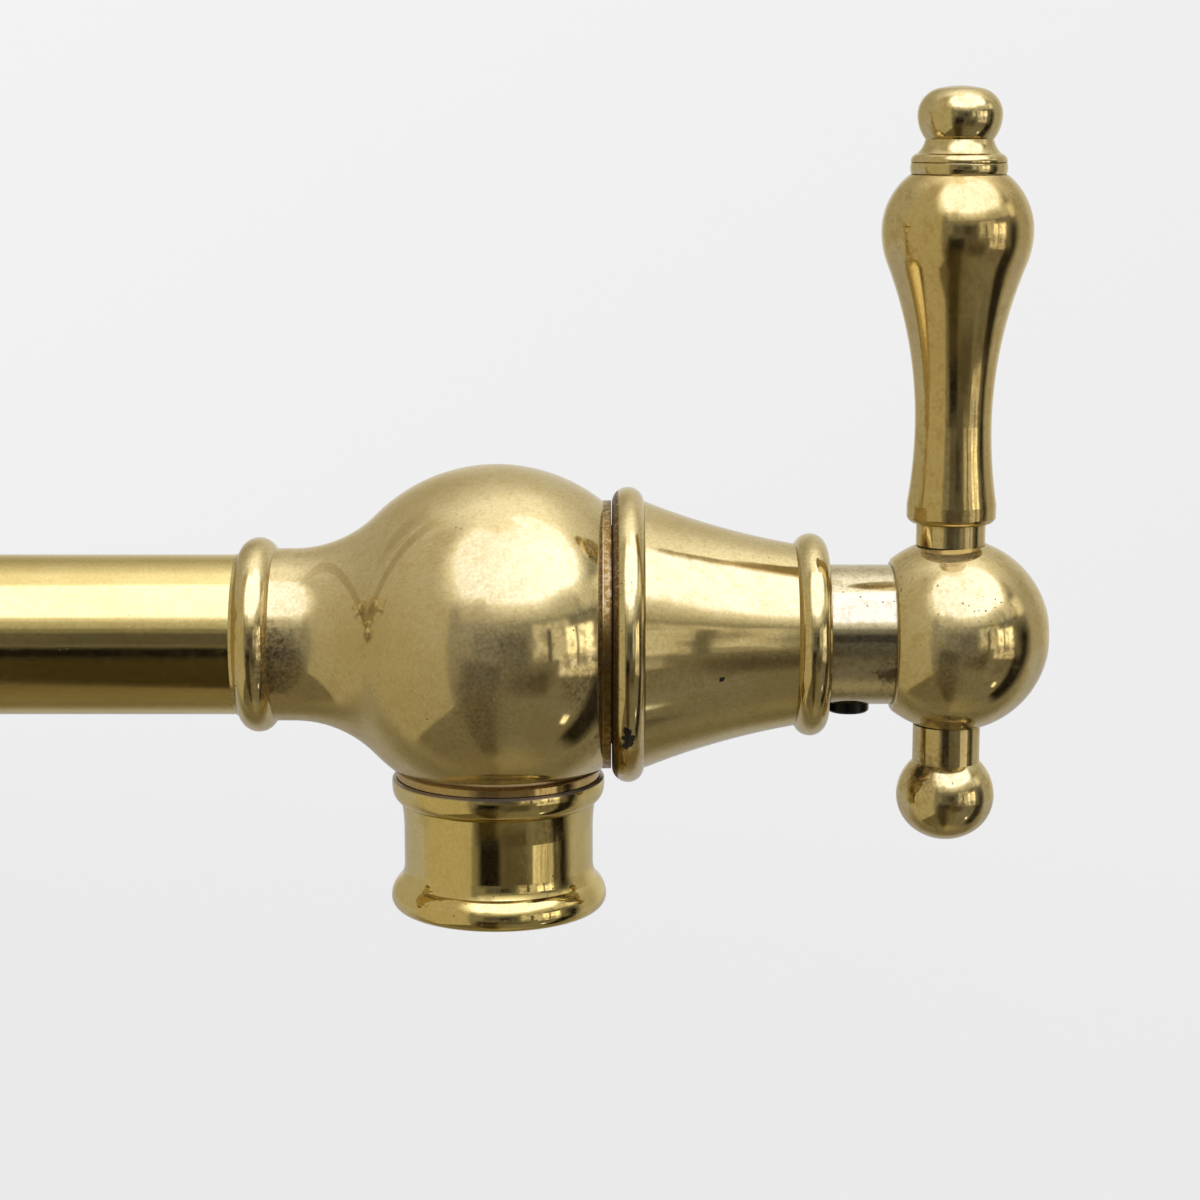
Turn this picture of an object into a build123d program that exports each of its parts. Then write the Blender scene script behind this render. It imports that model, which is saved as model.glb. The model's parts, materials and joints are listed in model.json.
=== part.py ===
from build123d import *
from math import atan, cos, sin, sqrt
import os

# Wall mounted pot filler in turned and cast brass, with two swinging arms, a
# quarter-turn valve with a lever at the wall and another one at the spout.
#
# Frame, in millimetres: the wall is the plane Y = 0 and the origin is the centre
# of the flange's back face, on the inlet's axis. +Z is up and -Y points out of
# the wall, towards the cook. At rest both arms reach along +X, beside the wall,
# and both levers stand up, which is shut.
#
# Outlines of turned pieces are closed loops of rows (radius, height, bulge).
# They go up the outside and come down the inside. The optional bulge is how far
# the stretch to the next row swells out of the metal as an arc; it is negative
# where the arc is hollow.

# ---- driving dimensions: what runs through the whole fitting ----
TUBE_R = 11.0            # arm tubes and wall shank, 22 mm outside
TUBE_BORE_R = 10.0
WATERWAY_R = 7.6
BRAZE_GAP = 0.05         # between a tube's bore and the spigot brazed into it
THREAD_GAP = 0.1         # between screwed pieces, whose threads stay plain
SPIGOT_LENGTH = 8.0      # how far each casting's spigot enters its tube
SLIDE_GAP = 0.05         # radial gap of a close sliding fit
END_GAP = 0.5            # free length past a piece's end in its hole
SINK = 0.2               # how far a shape is sunk into the one it joins
EDGE = 0.12              # roundness of a small edge

WALL_TO_PIVOT = 78.0     # wall face to the wall swivel's axis
ARM_LENGTH = 250.0       # swivel axis to swivel axis, and on to the spout's axis

# ---- neck where a tube meets a casting ----
NECK_R = 11.85
NECK_LIP_R = 11.15
NECK_LIP = 0.4
NECK_LIP_STEP = 0.15
NECK_BEAD_W = 4.9
NECK_BEAD_R = 13.3
NECK_STRAIGHT = 2.5

# ---- valve casting: a ball with a neck, a bonnet seat and a boss below ----
BALL_R = 23.4
BALL_COVE_R = 15.8
SEAT_LIP_R = 18.4        # round lip that the bonnet closes on
SEAT_LIP_END = 15.6
BONNET_SPIGOT_R = 15.0
BONNET_SPIGOT_END = 21.0
CARTRIDGE_THREAD_R = 10.5
CHAMBER_R = 14.5
CHAMBER_FROM = -6.0
CHAMBER_TO = 7.0
VALVE_BOSS_ROOT = 15.2   # where the boss begins inside the ball, clear of the chamber
SEAT_FACE = -9.0
SEAT_HOLE_R = 5.5
SEAT_WALL = 3.0

# ---- boss below a ball, and the collar screwed into it ----
BOSS_R = 14.1
BOSS_FILLET = 1.5
BOSS_COVE_H = 1.0
BOSS_COVE_HOLLOW = 0.25
VALVE_BOSS_DROP = 19.6   # ball centre to the boss's lower face
COLLAR_THREAD_R = 11.5
COLLAR_THREAD_H = 5.0
MOUTH_DEPTH = 7.3        # depth of the boss's wide mouth, for collar and circlip
COLLAR_GAP = 0.1
COLLAR_H = 18.65
COLLAR_TOP_R = 14.65
COLLAR_LIP_H = 0.25      # chamfered upper edge
COLLAR_LIP_W = 0.35
COLLAR_WIDE_DROP = 1.7   # upper edge to where the upper bead is widest
COLLAR_BEAD_BULGE = 0.3
COLLAR_CREASE_DROP = 3.55
COLLAR_CREASE_R = 13.42
COLLAR_WAIST_DROP = 7.0  # upper edge to where the waist is slimmest
COLLAR_WAIST_R = 13.1
COLLAR_WAIST_FOOT = 2.0  # above the foot bead, where the waist starts to flare
COLLAR_FOOT_CREASE_R = 13.6
COLLAR_FOOT_R = 13.5     # edge of the lower face, inside the bead around it
FOOT_BEAD_R = 14.95
FOOT_BEAD_MIDDLE = 1.6   # how far above the lower face the bead is widest
FOOT_BEAD_H = 4.3

# ---- swivel: a hollow spigot turning in the collar ----
SWIVEL_BORE_R = 8.0
SWIVEL_SPIGOT_R = 7.95
SWIVEL_WATER_R = 4.5
SWIVEL_ROOT_R = 8.95
SWIVEL_ROOT_DEPTH = 10.0
SWIVEL_HEAD = 2.0        # spigot above the collar's thread
WASHER_H = 0.6
WASHER_R = 13.4
SWIVEL_GAP = 0.05
CIRCLIP_H = 0.9
CIRCLIP_R = 9.3
CIRCLIP_GROOVE_R = 7.0
CIRCLIP_OPENING = 5.0
RING_GROOVE_R = 6.0
RING_GROOVE_W = 2.4
RING_DROPS = (6.0, 11.0)  # O-ring centres below the collar's upper edge

# ---- knuckles: smaller balls at the arms' joints ----
KNUCKLE_R = 20.0
KNUCKLE_COVE_R = 10.0
KNUCKLE_BOSS_DROP = 16.0
KNUCKLE_FACE = 20.4      # ball centre to the face under the swivel's washer
KNUCKLE_WAIST_R = 13.2
KNUCKLE_WAIST_Z = 15.4   # below the ball's centre
KNUCKLE_CREASE_R = 13.5
KNUCKLE_COVE_W = 1.6
KNUCKLE_COVE_HOLLOW = 0.3
KNUCKLE_BOSS_ROOT = 12.0
KNUCKLE_CHAMBER_R = 8.5
KNUCKLE_CHAMBER_TOP = 6.5
CAP_SEAT = 18.6
CAP_STEM_R = 6.0
CAP_STEM_L = 7.0
CAP_RING_H = 2.2
CAP_RING_ROUND = 0.9
CAP_RING_FOOT_R = 7.3
CAP_RIM_R = 7.1
CAP_DOME_H = 2.6

# ---- bonnet over the cartridge ----
BONNET_START = 15.75
BONNET_BEAD_W = 4.35
BONNET_BEAD_R = 20.28
BONNET_WIDE_R = 18.35
BONNET_NARROW_R = 12.5
BONNET_NOSE_START = 40.7
BONNET_NOSE_R = 13.9
BONNET_END = 45.1
BONNET_HOLLOW = 0.56
BONNET_HOLE_R = 9.9
BONNET_END_R = 12.2
BONNET_LAND = 3.2        # length of the hole that guides the sleeve
BONNET_RELIEF = 1.0
BONNET_INSIDE_R = 14.3   # inside, just past the thread
BONNET_INSIDE_X = 24.5

# ---- ceramic cartridge ----
CARTRIDGE_BOTTOM = -8.2
CARTRIDGE_BARREL_R = 9.2
CARTRIDGE_BORE_R = 8.06
DISC_R = 8.0
DISC_H = 3.0
SEAL_H = 2.8
SEAL_HOLE_R = 5.4
PORT_R = 6.6
PORT_ANGLE = 80
FIXED_DISC_HUB_R = 1.8
BOW_TIE_CUT = 84         # angle of each notch that makes the moving disc a bow tie
MOVING_DISC_HUB_R = 2.6
WINDOW_W = 9.0
HEX_WIDTH = 20.0
WINDOW_LIP = 0.3
HEX_H = 5.5
GLAND_R = 8.2
GLAND_END = 36.0
SPINDLE_R = 5.0
SPINDLE_BORE_R = 5.05
SPINDLE_PLATE_H = 2.9
SPINDLE_NOSE_R = 4.05
SPINDLE_END = 51.5
SPINDLE_FLAT = 3.2       # flat under the nose, where the handle's screw bears
SPINDLE_FLAT_W = 7.0
DISC_GAP = 0.02
TANG_W = 4.0
TANG_L = 9.0
TANG_H = 1.6
TANG_GAP = 0.1
SPINDLE_RINGS = (12.0, 17.0)
SPINDLE_GROOVE_R = 3.8
SPINDLE_GROOVE_W = 1.6

# ---- handle ----
SLEEVE_R = 9.6
SLEEVE_START = 38.5
SLEEVE_END = 54.0
SLEEVE_STUB_R = 7.0
SLEEVE_STUB_L = 6.0
GRUB_X = 48.3
GRUB_R = 2.9
GRUB_FACE = 10.7         # how far below the axis the screw's outer face is
GRUB_CHAMFER = 0.25
HUB_X = 62.0
HUB_R = 13.35
HUB_SHIFT = 0.45         # the ball's centre beyond the lever's axis
HUB_END = 13.2           # lever's axis to the small flat on the ball's end
HUB_EDGE = 0.7           # roundness where the ball meets the sleeve
HUB_FLAT = 12.55         # spot faces above and below, where the lever's pieces seat
STEM_R = 4.71
STUD_R = 3.1
STUD_L = 5.0
STUD_END_GAP = 0.2
GRIP_BOTTOM = 15.6
GRIP_FOOT_R = 6.07
GRIP_FOOT_LIP_R = 5.32
GRIP_FOOT_LIP_H = 0.8
GRIP_FOOT_TOP = 18.1
GRIP_WAIST_R = 5.18
GRIP_WAIST_Z = 29.0
GRIP_BULB_R = 10.17
GRIP_BULB_Z = 55.0
GRIP_BULB_ARC = 12.0
GRIP_SHOULDER_R = 6.6
GRIP_SHOULDER_Z = 62.4
GRIP_SOCKET_L = 12.0
LEVER_CAP_RING_R = 6.45
LEVER_CAP_RING_TOP = 64.0
LEVER_CAP_GROOVE = 0.15  # fine groove between the ring and the bead above it
LEVER_CAP_BEAD_BULGE = 0.24
LEVER_CAP_BEAD_TOP_R = 5.6
LEVER_CAP_BEAD_TOP_Z = 65.25
LEVER_CAP_COVE = 0.17
LEVER_CAP_FLANK = 0.26
LEVER_CAP_SHOULDER = 0.95
LEVER_CAP_NECK_R = 4.55
LEVER_CAP_NECK_Z = 67.1
LEVER_CAP_BALL_R = 5.65
LEVER_CAP_BALL_Z = 70.1
LEVER_CAP_CROWN_R = 2.6
LEVER_CAP_CROWN_Z = 73.87
LEVER_CAP_TOP = 74.15
LEVER_CAP_STUD_R = 2.5
LEVER_CAP_STUD_L = 9.0
COUNTER_NECK_R = 4.62
COUNTER_BALL_R = 6.74
COUNTER_BALL_Z = 22.65   # below the valve's axis
COUNTER_FOOT_R = 4.3
COUNTER_FOOT_Z = 27.39
COUNTER_FLANK = 0.63
COUNTER_BOTTOM = 28.8

# ---- outlet ----
AERATOR_THREAD_R = 11.0
AERATOR_DEPTH = 8.3
AERATOR_RECESS = 0.5
AERATOR_SHELL_R = 10.9
AERATOR_BORE_R = 9.4
AERATOR_SHELL_H = 6.3
AERATOR_LEDGE_R = 8.4
AERATOR_LEDGE_H = 1.0
GRILLE_H = 2.4
GRILLE_LIFT = 0.3        # above the shell's lower edge
GRILLE_RIM_W = 0.95
GRILLE_RIB = 0.7
GRILLE_RINGS = (3.1, 6.1)
GRILLE_SPOKES = 8
MIXER_H = 1.6
MIXER_HOLE_R = 0.7
MIXER_HOLES = 12
MIXER_PITCH_R = 6.0
OUTLET_WASHER_H = 1.5

# ---- wall end ----
SHANK_END = 1.5          # how near the wall the shank's tube ends
NIPPLE_THREAD_R = 10.48  # half-inch parallel pipe thread
NIPPLE_THREAD_L = 15.0
NIPPLE_SPIGOT_L = 12.0
FLANGE_R = 32.0
FLANGE_EDGE = 2.2
FLANGE_STEP_R = 29.6
FLANGE_OGEE_R = 21.0
FLANGE_OGEE_H = 7.4
FLANGE_WALL = 2.6
FLANGE_HUB_R = 14.2
FLANGE_HUB_START = 12.6
FLANGE_H = 16.4
FLANGE_BEAD_R = 15.4
FLANGE_BORE_R = 11.1
FLANGE_RIM_R = 28.8
FLANGE_EDGE_ROUND = 0.25
FLANGE_STEP_H = 3.1
FLANGE_STEP_ROUND = 1.5
FLANGE_OGEE_HOLLOW = 1.4
FLANGE_TOP_R = 13.6
FLANGE_RIM_H = 1.6
FLANGE_GRUB_Z = 14.5
FLANGE_GRUB_R = 1.5
FLANGE_GRUB_FACE = 14.8  # how far below the axis the screw's outer face is


# ---- helpers ----
def stretch(start, end, bulge):
    """Line or arc between two rows of an outline, in the XZ plane."""
    first = Vector(start[0], 0, start[1])
    last = Vector(end[0], 0, end[1])
    if not bulge:
        return Edge.make_line(first, last)
    along = (last - first).normalized()
    outward = Vector(along.Z, 0, -along.X)
    return Edge.make_three_point_arc(first, (first + last) * 0.5 + outward * bulge, last)


def turned(rows):
    """Solid turned about Z from a closed outline."""
    edges = []
    for row, following in zip(rows, rows[1:] + rows[:1]):
        bulge = row[2] if len(row) > 2 else 0
        edges.append(stretch(row, following, bulge))
    return Solid.revolve(Face(Wire(edges)), 360, Axis.Z)


def turned_along_x(rows):
    """The same, with the outline's heights running along +X and the seam at the side."""
    return Rot(0, 90, 0) * Rot(0, 0, 90) * turned(rows)


def sagitta(arc_radius, start, end):
    """Bulge of an arc of known radius between two rows."""
    half = sqrt((end[0] - start[0]) ** 2 + (end[1] - start[1]) ** 2) / 2
    return arc_radius - sqrt(arc_radius**2 - half**2)


def level_arc(start, end):
    """Bulge of an arc that is level at one of its two rows, as a dome is at its top."""
    span = abs(start[0] - end[0])
    rise = abs(start[1] - end[1])
    return sagitta((span**2 + rise**2) / (2 * rise), start, end)


def upright_arc(start, end):
    """Bulge of an arc that is upright at one of its two rows, as a bead is where widest."""
    span = abs(start[0] - end[0])
    rise = abs(start[1] - end[1])
    return sagitta((span**2 + rise**2) / (2 * span), start, end)


def rod(radius, start, end):
    """Plain round bar about Z between two heights."""
    return Pos(0, 0, (start + end) / 2) * Cylinder(radius, abs(end - start))


def ring(outer, inner, start, end):
    return rod(outer, start, end) - rod(inner, start, end)


def ball_reach(ball_r, radius):
    """Distance from a ball's centre to the plane where it has this radius."""
    return sqrt(ball_r**2 - radius**2)


# ---- shared outlines ----
def cove_start(ball_r, cove_r):
    """How far from the ball's centre its neck stops being straight."""
    return sqrt((ball_r + cove_r) ** 2 - (NECK_R + cove_r) ** 2)


def seam_distance(ball_r, cove_r):
    """Ball centre to the end face of its neck, where the tube is brazed on."""
    return cove_start(ball_r, cove_r) + NECK_STRAIGHT + NECK_BEAD_W + NECK_LIP


def neck_rows(ball_r, cove_r, ball_end):
    """Outside of a casting from its brazing spigot to the far side of its ball."""
    cove = cove_start(ball_r, cove_r)
    seam = seam_distance(ball_r, cove_r)
    share = ball_r / (ball_r + cove_r)
    tangent = ((NECK_R + cove_r) * share, -cove * share)
    straight = (NECK_R, -cove)
    bead_start = -seam + NECK_LIP
    lip = (NECK_LIP_R + NECK_LIP_STEP, bead_start)
    bead_bulge = NECK_BEAD_R - (NECK_LIP_R + NECK_R) / 2
    return [
        (TUBE_BORE_R - BRAZE_GAP, -seam - SPIGOT_LENGTH),
        (TUBE_BORE_R - BRAZE_GAP, -seam),
        (NECK_LIP_R, -seam),
        (*lip, bead_bulge),
        (NECK_R, bead_start + NECK_BEAD_W),
        (*straight, -sagitta(cove_r, straight, tangent)),
        (*tangent, sagitta(ball_r, tangent, ball_end)),
    ]


def boss(ball_r, drop, root):
    """Short boss under a ball, with a small cove where they join."""
    cove_top = (BOSS_R + BOSS_FILLET, -ball_reach(ball_r, BOSS_R + BOSS_FILLET) + SINK)
    cove_foot = (BOSS_R, cove_top[1] - BOSS_COVE_H)
    return turned([
        (0, -drop),
        (BOSS_R, -drop),
        (*cove_foot, -BOSS_COVE_HOLLOW),
        cove_top,
        (BOSS_R, -root),
        (0, -root),
    ])


def boss_bore(ball_r, drop, top):
    """Threaded mouth of the boss, the waterway above it and the ball's end below it."""
    mouth = rod(COLLAR_THREAD_R + THREAD_GAP, -drop, -drop + MOUTH_DEPTH)
    below = rod(ball_r, -drop - ball_r, -drop)
    return mouth + rod(KNUCKLE_CHAMBER_R, -drop, top) + below


def foot_bead_rows(foot, crease_r):
    """Rounded bead standing on a lower face, up to the crease under the waist."""
    edge = (COLLAR_FOOT_R, foot)
    widest = (FOOT_BEAD_R, foot + FOOT_BEAD_MIDDLE)
    crease = (crease_r, foot + FOOT_BEAD_H)
    return [
        (*edge, upright_arc(edge, widest)),
        (*widest, upright_arc(widest, crease)),
        (*crease, -EDGE),
    ]


def collar_rows():
    """Outside of a collar, from its foot to the top of its thread."""
    waist_foot = -COLLAR_H + FOOT_BEAD_H + COLLAR_WAIST_FOOT
    return foot_bead_rows(-COLLAR_H, COLLAR_FOOT_CREASE_R) + [
        (COLLAR_WAIST_R, waist_foot),
        (COLLAR_WAIST_R, -COLLAR_WAIST_DROP, -EDGE / 2),
        (COLLAR_CREASE_R, -COLLAR_CREASE_DROP, COLLAR_BEAD_BULGE),
        (COLLAR_TOP_R, -COLLAR_WIDE_DROP, EDGE / 2),
        (COLLAR_TOP_R, -COLLAR_LIP_H),
        (COLLAR_TOP_R - COLLAR_LIP_W, 0),
        (COLLAR_THREAD_R, 0),
        (COLLAR_THREAD_R, COLLAR_THREAD_H),
    ]


# ---- valve: casting, bonnet and cartridge, with the valve's axis along +X ----
def valve_body():
    lip_start = (SEAT_LIP_R, ball_reach(BALL_R, SEAT_LIP_R))
    rows = neck_rows(BALL_R, BALL_COVE_R, lip_start)
    spigot_end = rows[0][1]
    bore_r = CARTRIDGE_THREAD_R + THREAD_GAP
    rows += [
        lip_start,
        (SEAT_LIP_R, SEAT_LIP_END),
        (BONNET_SPIGOT_R, SEAT_LIP_END),
        (BONNET_SPIGOT_R, BONNET_SPIGOT_END),
        (bore_r, BONNET_SPIGOT_END),
        (bore_r, CHAMBER_TO),
        (CHAMBER_R, CHAMBER_TO),
        (CHAMBER_R, CHAMBER_FROM),
        (bore_r, CHAMBER_FROM),
        (bore_r, SEAT_FACE),
        (SEAT_HOLE_R, SEAT_FACE),
        (SEAT_HOLE_R, SEAT_FACE - SEAT_WALL),
        (WATERWAY_R, SEAT_FACE - SEAT_WALL),
        (WATERWAY_R, spigot_end),
    ]
    casting = turned_along_x(rows) + boss(BALL_R, VALVE_BOSS_DROP, VALVE_BOSS_ROOT)
    return casting - boss_bore(BALL_R, VALVE_BOSS_DROP, -CHAMBER_R / 2)


def bonnet():
    bead_end = BONNET_START + BONNET_BEAD_W
    thread_r = BONNET_SPIGOT_R + THREAD_GAP
    nose_bulge = BONNET_NOSE_R - (BONNET_NARROW_R + BONNET_END_R) / 2
    return turned_along_x([
        (BONNET_WIDE_R, BONNET_START, BONNET_BEAD_R - BONNET_WIDE_R),
        (BONNET_WIDE_R, bead_end, -BONNET_HOLLOW),
        (BONNET_NARROW_R, BONNET_NOSE_START, nose_bulge),
        (BONNET_END_R, BONNET_END),
        (BONNET_HOLE_R, BONNET_END),
        (BONNET_HOLE_R, BONNET_END - BONNET_LAND),
        (BONNET_HOLE_R + BONNET_RELIEF, BONNET_END - BONNET_LAND - BONNET_RELIEF),
        (BONNET_INSIDE_R, BONNET_INSIDE_X),
        (thread_r, BONNET_SPIGOT_END + END_GAP),
        (thread_r, BONNET_START),
    ])


def cartridge_body():
    thread_start = CHAMBER_TO + END_GAP
    plate_end = SPINDLE_PLATE_H + TANG_GAP
    shell = turned_along_x([
        (CARTRIDGE_BARREL_R, CARTRIDGE_BOTTOM),
        (CARTRIDGE_BARREL_R, thread_start),
        (CARTRIDGE_THREAD_R, thread_start),
        (CARTRIDGE_THREAD_R, BONNET_SPIGOT_END),
        (GLAND_R, BONNET_SPIGOT_END),
        (GLAND_R, GLAND_END),
        (SPINDLE_BORE_R, GLAND_END),
        (SPINDLE_BORE_R, plate_end),
        (CARTRIDGE_BORE_R, plate_end),
        (CARTRIDGE_BORE_R, CARTRIDGE_BOTTOM),
    ])
    hexagon = extrude(RegularPolygon(HEX_WIDTH / 2, 6, major_radius=False), HEX_H)
    nut = Pos(BONNET_SPIGOT_END, 0, 0) * Rot(0, 90, 0) * (hexagon - rod(GLAND_R, 0, HEX_H))
    window_h = SPINDLE_PLATE_H + DISC_H - WINDOW_LIP
    window = Pos(SPINDLE_PLATE_H - window_h / 2, 0, 0) * Box(
        window_h, 4 * CARTRIDGE_BARREL_R, WINDOW_W
    )
    return shell + nut - window


def bottom_seal():
    return turned_along_x([
        (DISC_R, SEAT_FACE),
        (DISC_R, SEAT_FACE + SEAL_H),
        (SEAL_HOLE_R, SEAT_FACE + SEAL_H),
        (SEAL_HOLE_R, SEAT_FACE),
    ])


def fixed_disc():
    """Ceramic disc with two quarter ports, above and below its middle."""
    start = SEAT_FACE + SEAL_H
    disc = rod(DISC_R, start, start + DISC_H)
    for side in (0, 180):
        disc -= Rot(0, 0, side - PORT_ANGLE / 2) * Solid.make_cylinder(
            PORT_R, DISC_H, Plane((0, 0, start)), PORT_ANGLE
        )
    hub = rod(FIXED_DISC_HUB_R, start, start + DISC_H)
    return Rot(0, 90, 0) * (disc + hub)


def moving_disc():
    """Ceramic disc cut away to a bow tie, which covers the ports when shut."""
    start = SEAT_FACE + SEAL_H + DISC_H + DISC_GAP
    disc = rod(DISC_R, start, -DISC_GAP)
    for side in (90, 270):
        disc -= Rot(0, 0, side - BOW_TIE_CUT / 2) * Solid.make_cylinder(
            2 * DISC_R, 2 * DISC_H, Plane((0, 0, start)), BOW_TIE_CUT
        )
    hub = rod(MOVING_DISC_HUB_R, start, -DISC_GAP)
    slot = Pos(0, 0, -DISC_GAP - TANG_H / 2) * Box(
        TANG_L + 2 * TANG_GAP, TANG_W + 2 * TANG_GAP, TANG_H
    )
    return Rot(0, 90, 0) * (disc + hub - slot)


def spindle():
    rows = [
        (DISC_R, 0),
        (DISC_R, SPINDLE_PLATE_H),
        (SPINDLE_R, SPINDLE_PLATE_H),
    ]
    for middle in SPINDLE_RINGS:
        low = middle - SPINDLE_GROOVE_W / 2
        high = middle + SPINDLE_GROOVE_W / 2
        rows += [
            (SPINDLE_R, low),
            (SPINDLE_GROOVE_R, low),
            (SPINDLE_GROOVE_R, high),
            (SPINDLE_R, high),
        ]
    rows += [
        (SPINDLE_R, GLAND_END + END_GAP),
        (SPINDLE_NOSE_R, GLAND_END + END_GAP),
        (SPINDLE_NOSE_R, SPINDLE_END),
        (0, SPINDLE_END),
        (0, 0),
    ]
    tang_h = TANG_H - TANG_GAP
    tang = Pos(-tang_h / 2, 0, 0) * Box(tang_h, TANG_W, TANG_L)
    flat = Pos(GRUB_X, 0, -SPINDLE_FLAT - SPINDLE_NOSE_R / 2) * Box(
        SPINDLE_FLAT_W, 2 * SPINDLE_NOSE_R, SPINDLE_NOSE_R
    )
    return turned_along_x(rows) + tang - flat


def spindle_rings():
    section = (SPINDLE_R - SPINDLE_GROOVE_R) / 2
    rings = [
        Pos(middle, 0, 0) * Rot(0, 90, 0) * Torus(SPINDLE_GROOVE_R + section, section)
        for middle in SPINDLE_RINGS
    ]
    return Compound(children=rings)


# ---- handle: sleeve, hub ball, lever and counterweight, lever up ----
def handle_sleeve():
    bore = SPINDLE_NOSE_R + SLIDE_GAP
    sleeve = turned_along_x([
        (SLEEVE_R, SLEEVE_START),
        (SLEEVE_R, SLEEVE_END),
        (SLEEVE_STUB_R, SLEEVE_END),
        (SLEEVE_STUB_R, SLEEVE_END + SLEEVE_STUB_L),
        (0, SLEEVE_END + SLEEVE_STUB_L),
        (0, SPINDLE_END + END_GAP),
        (bore, SPINDLE_END + END_GAP),
        (bore, SLEEVE_START),
    ])
    return sleeve - Pos(GRUB_X, 0, 0) * rod(GRUB_R + THREAD_GAP, -2 * SLEEVE_R, -bore / 2)


def grub_screw(radius, face, tip):
    """Socket set screw pointing up, with its hexagon socket in the lower face."""
    body = turned([
        (0, -face),
        (radius - GRUB_CHAMFER, -face),
        (radius, -face + GRUB_CHAMFER),
        (radius, -tip - GRUB_CHAMFER),
        (radius - GRUB_CHAMFER, -tip),
        (0, -tip),
    ])
    socket = extrude(RegularPolygon(radius / 2, 6, major_radius=False), radius)
    return body - Pos(0, 0, -face) * socket


def handle_grub_screw():
    return Pos(GRUB_X, 0, 0) * grub_screw(GRUB_R, GRUB_FACE, SPINDLE_FLAT)


def hub_ball():
    ball = Sphere(HUB_R)
    flat_x = SLEEVE_END - HUB_X
    keep = Pos((flat_x + HUB_END) / 2, 0, 0) * Box(
        HUB_END - flat_x, 2 * HUB_R, 2 * HUB_FLAT
    )
    ball = Pos(HUB_SHIFT, 0, 0) * ball & keep
    inner_edge = ball.edges().sort_by(Axis.X)[0]
    ball = fillet(inner_edge, HUB_EDGE)
    stub_hole = rod(SLEEVE_STUB_R + THREAD_GAP, 0, SLEEVE_STUB_L + STUD_END_GAP)
    ball -= Pos(flat_x, 0, 0) * Rot(0, 90, 0) * stub_hole
    for side in (1, -1):
        stud_end = HUB_FLAT - STUD_L - STUD_END_GAP
        ball -= rod(STUD_R + THREAD_GAP, side * stud_end, side * HUB_R)
    return Pos(HUB_X, 0, 0) * ball


def lever_stem():
    """Neck between hub and grip, with a stud at each end."""
    return Pos(HUB_X, 0, 0) * turned([
        (0, HUB_FLAT - STUD_L),
        (STUD_R, HUB_FLAT - STUD_L),
        (STUD_R, HUB_FLAT),
        (STEM_R, HUB_FLAT),
        (STEM_R, GRIP_BOTTOM),
        (STUD_R, GRIP_BOTTOM),
        (STUD_R, GRIP_BOTTOM + GRIP_SOCKET_L - END_GAP),
        (0, GRIP_BOTTOM + GRIP_SOCKET_L - END_GAP),
    ])


def lever_grip():
    """Turned grip: a flared foot, a slim waist and a bulb, joined by tangent arcs."""
    rise = GRIP_BULB_Z - GRIP_WAIST_Z
    turn = 2 * atan((GRIP_BULB_R - GRIP_WAIST_R) / rise)
    waist_arc = rise / sin(turn) - GRIP_BULB_ARC
    join = (
        GRIP_BULB_R - GRIP_BULB_ARC * (1 - cos(turn)),
        GRIP_BULB_Z - GRIP_BULB_ARC * sin(turn),
    )
    waist = (GRIP_WAIST_R, GRIP_WAIST_Z)
    bulb = (GRIP_BULB_R, GRIP_BULB_Z)
    foot = (GRIP_FOOT_R, GRIP_FOOT_TOP)
    shoulder = (GRIP_SHOULDER_R, GRIP_SHOULDER_Z)
    socket_r = STUD_R + THREAD_GAP
    cap_socket_r = LEVER_CAP_STUD_R + THREAD_GAP
    cap_socket_z = GRIP_SHOULDER_Z - LEVER_CAP_STUD_L - END_GAP
    return Pos(HUB_X, 0, 0) * turned([
        (GRIP_FOOT_LIP_R, GRIP_BOTTOM, EDGE),
        (GRIP_FOOT_R, GRIP_BOTTOM + GRIP_FOOT_LIP_H),
        (*foot, -upright_arc(foot, waist)),
        (*waist, -sagitta(waist_arc, waist, join)),
        (*join, sagitta(GRIP_BULB_ARC, join, bulb)),
        (*bulb, upright_arc(bulb, shoulder)),
        shoulder,
        (cap_socket_r, GRIP_SHOULDER_Z),
        (cap_socket_r, cap_socket_z),
        (0, cap_socket_z),
        (0, GRIP_BOTTOM + GRIP_SOCKET_L),
        (socket_r, GRIP_BOTTOM + GRIP_SOCKET_L),
        (socket_r, GRIP_BOTTOM),
    ])


def lever_cap():
    """Finial on the grip: a ring, a bead, a cove and a flattened ball."""
    neck = (LEVER_CAP_NECK_R, LEVER_CAP_NECK_Z)
    widest = (LEVER_CAP_BALL_R, LEVER_CAP_BALL_Z)
    crown = (LEVER_CAP_CROWN_R, LEVER_CAP_CROWN_Z)
    top = (0, LEVER_CAP_TOP)
    groove = LEVER_CAP_GROOVE
    return Pos(HUB_X, 0, 0) * turned([
        (0, GRIP_SHOULDER_Z - LEVER_CAP_STUD_L),
        (LEVER_CAP_STUD_R, GRIP_SHOULDER_Z - LEVER_CAP_STUD_L),
        (LEVER_CAP_STUD_R, GRIP_SHOULDER_Z),
        (LEVER_CAP_RING_R - groove, GRIP_SHOULDER_Z, EDGE),
        (LEVER_CAP_RING_R, LEVER_CAP_RING_TOP - groove, EDGE / 2),
        (LEVER_CAP_RING_R - groove, LEVER_CAP_RING_TOP),
        (LEVER_CAP_RING_R, LEVER_CAP_RING_TOP + groove, LEVER_CAP_BEAD_BULGE),
        (LEVER_CAP_BEAD_TOP_R, LEVER_CAP_BEAD_TOP_Z, -LEVER_CAP_COVE),
        (*neck, LEVER_CAP_FLANK),
        (*widest, LEVER_CAP_SHOULDER),
        (*crown, level_arc(crown, top)),
        top,
    ])


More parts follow.
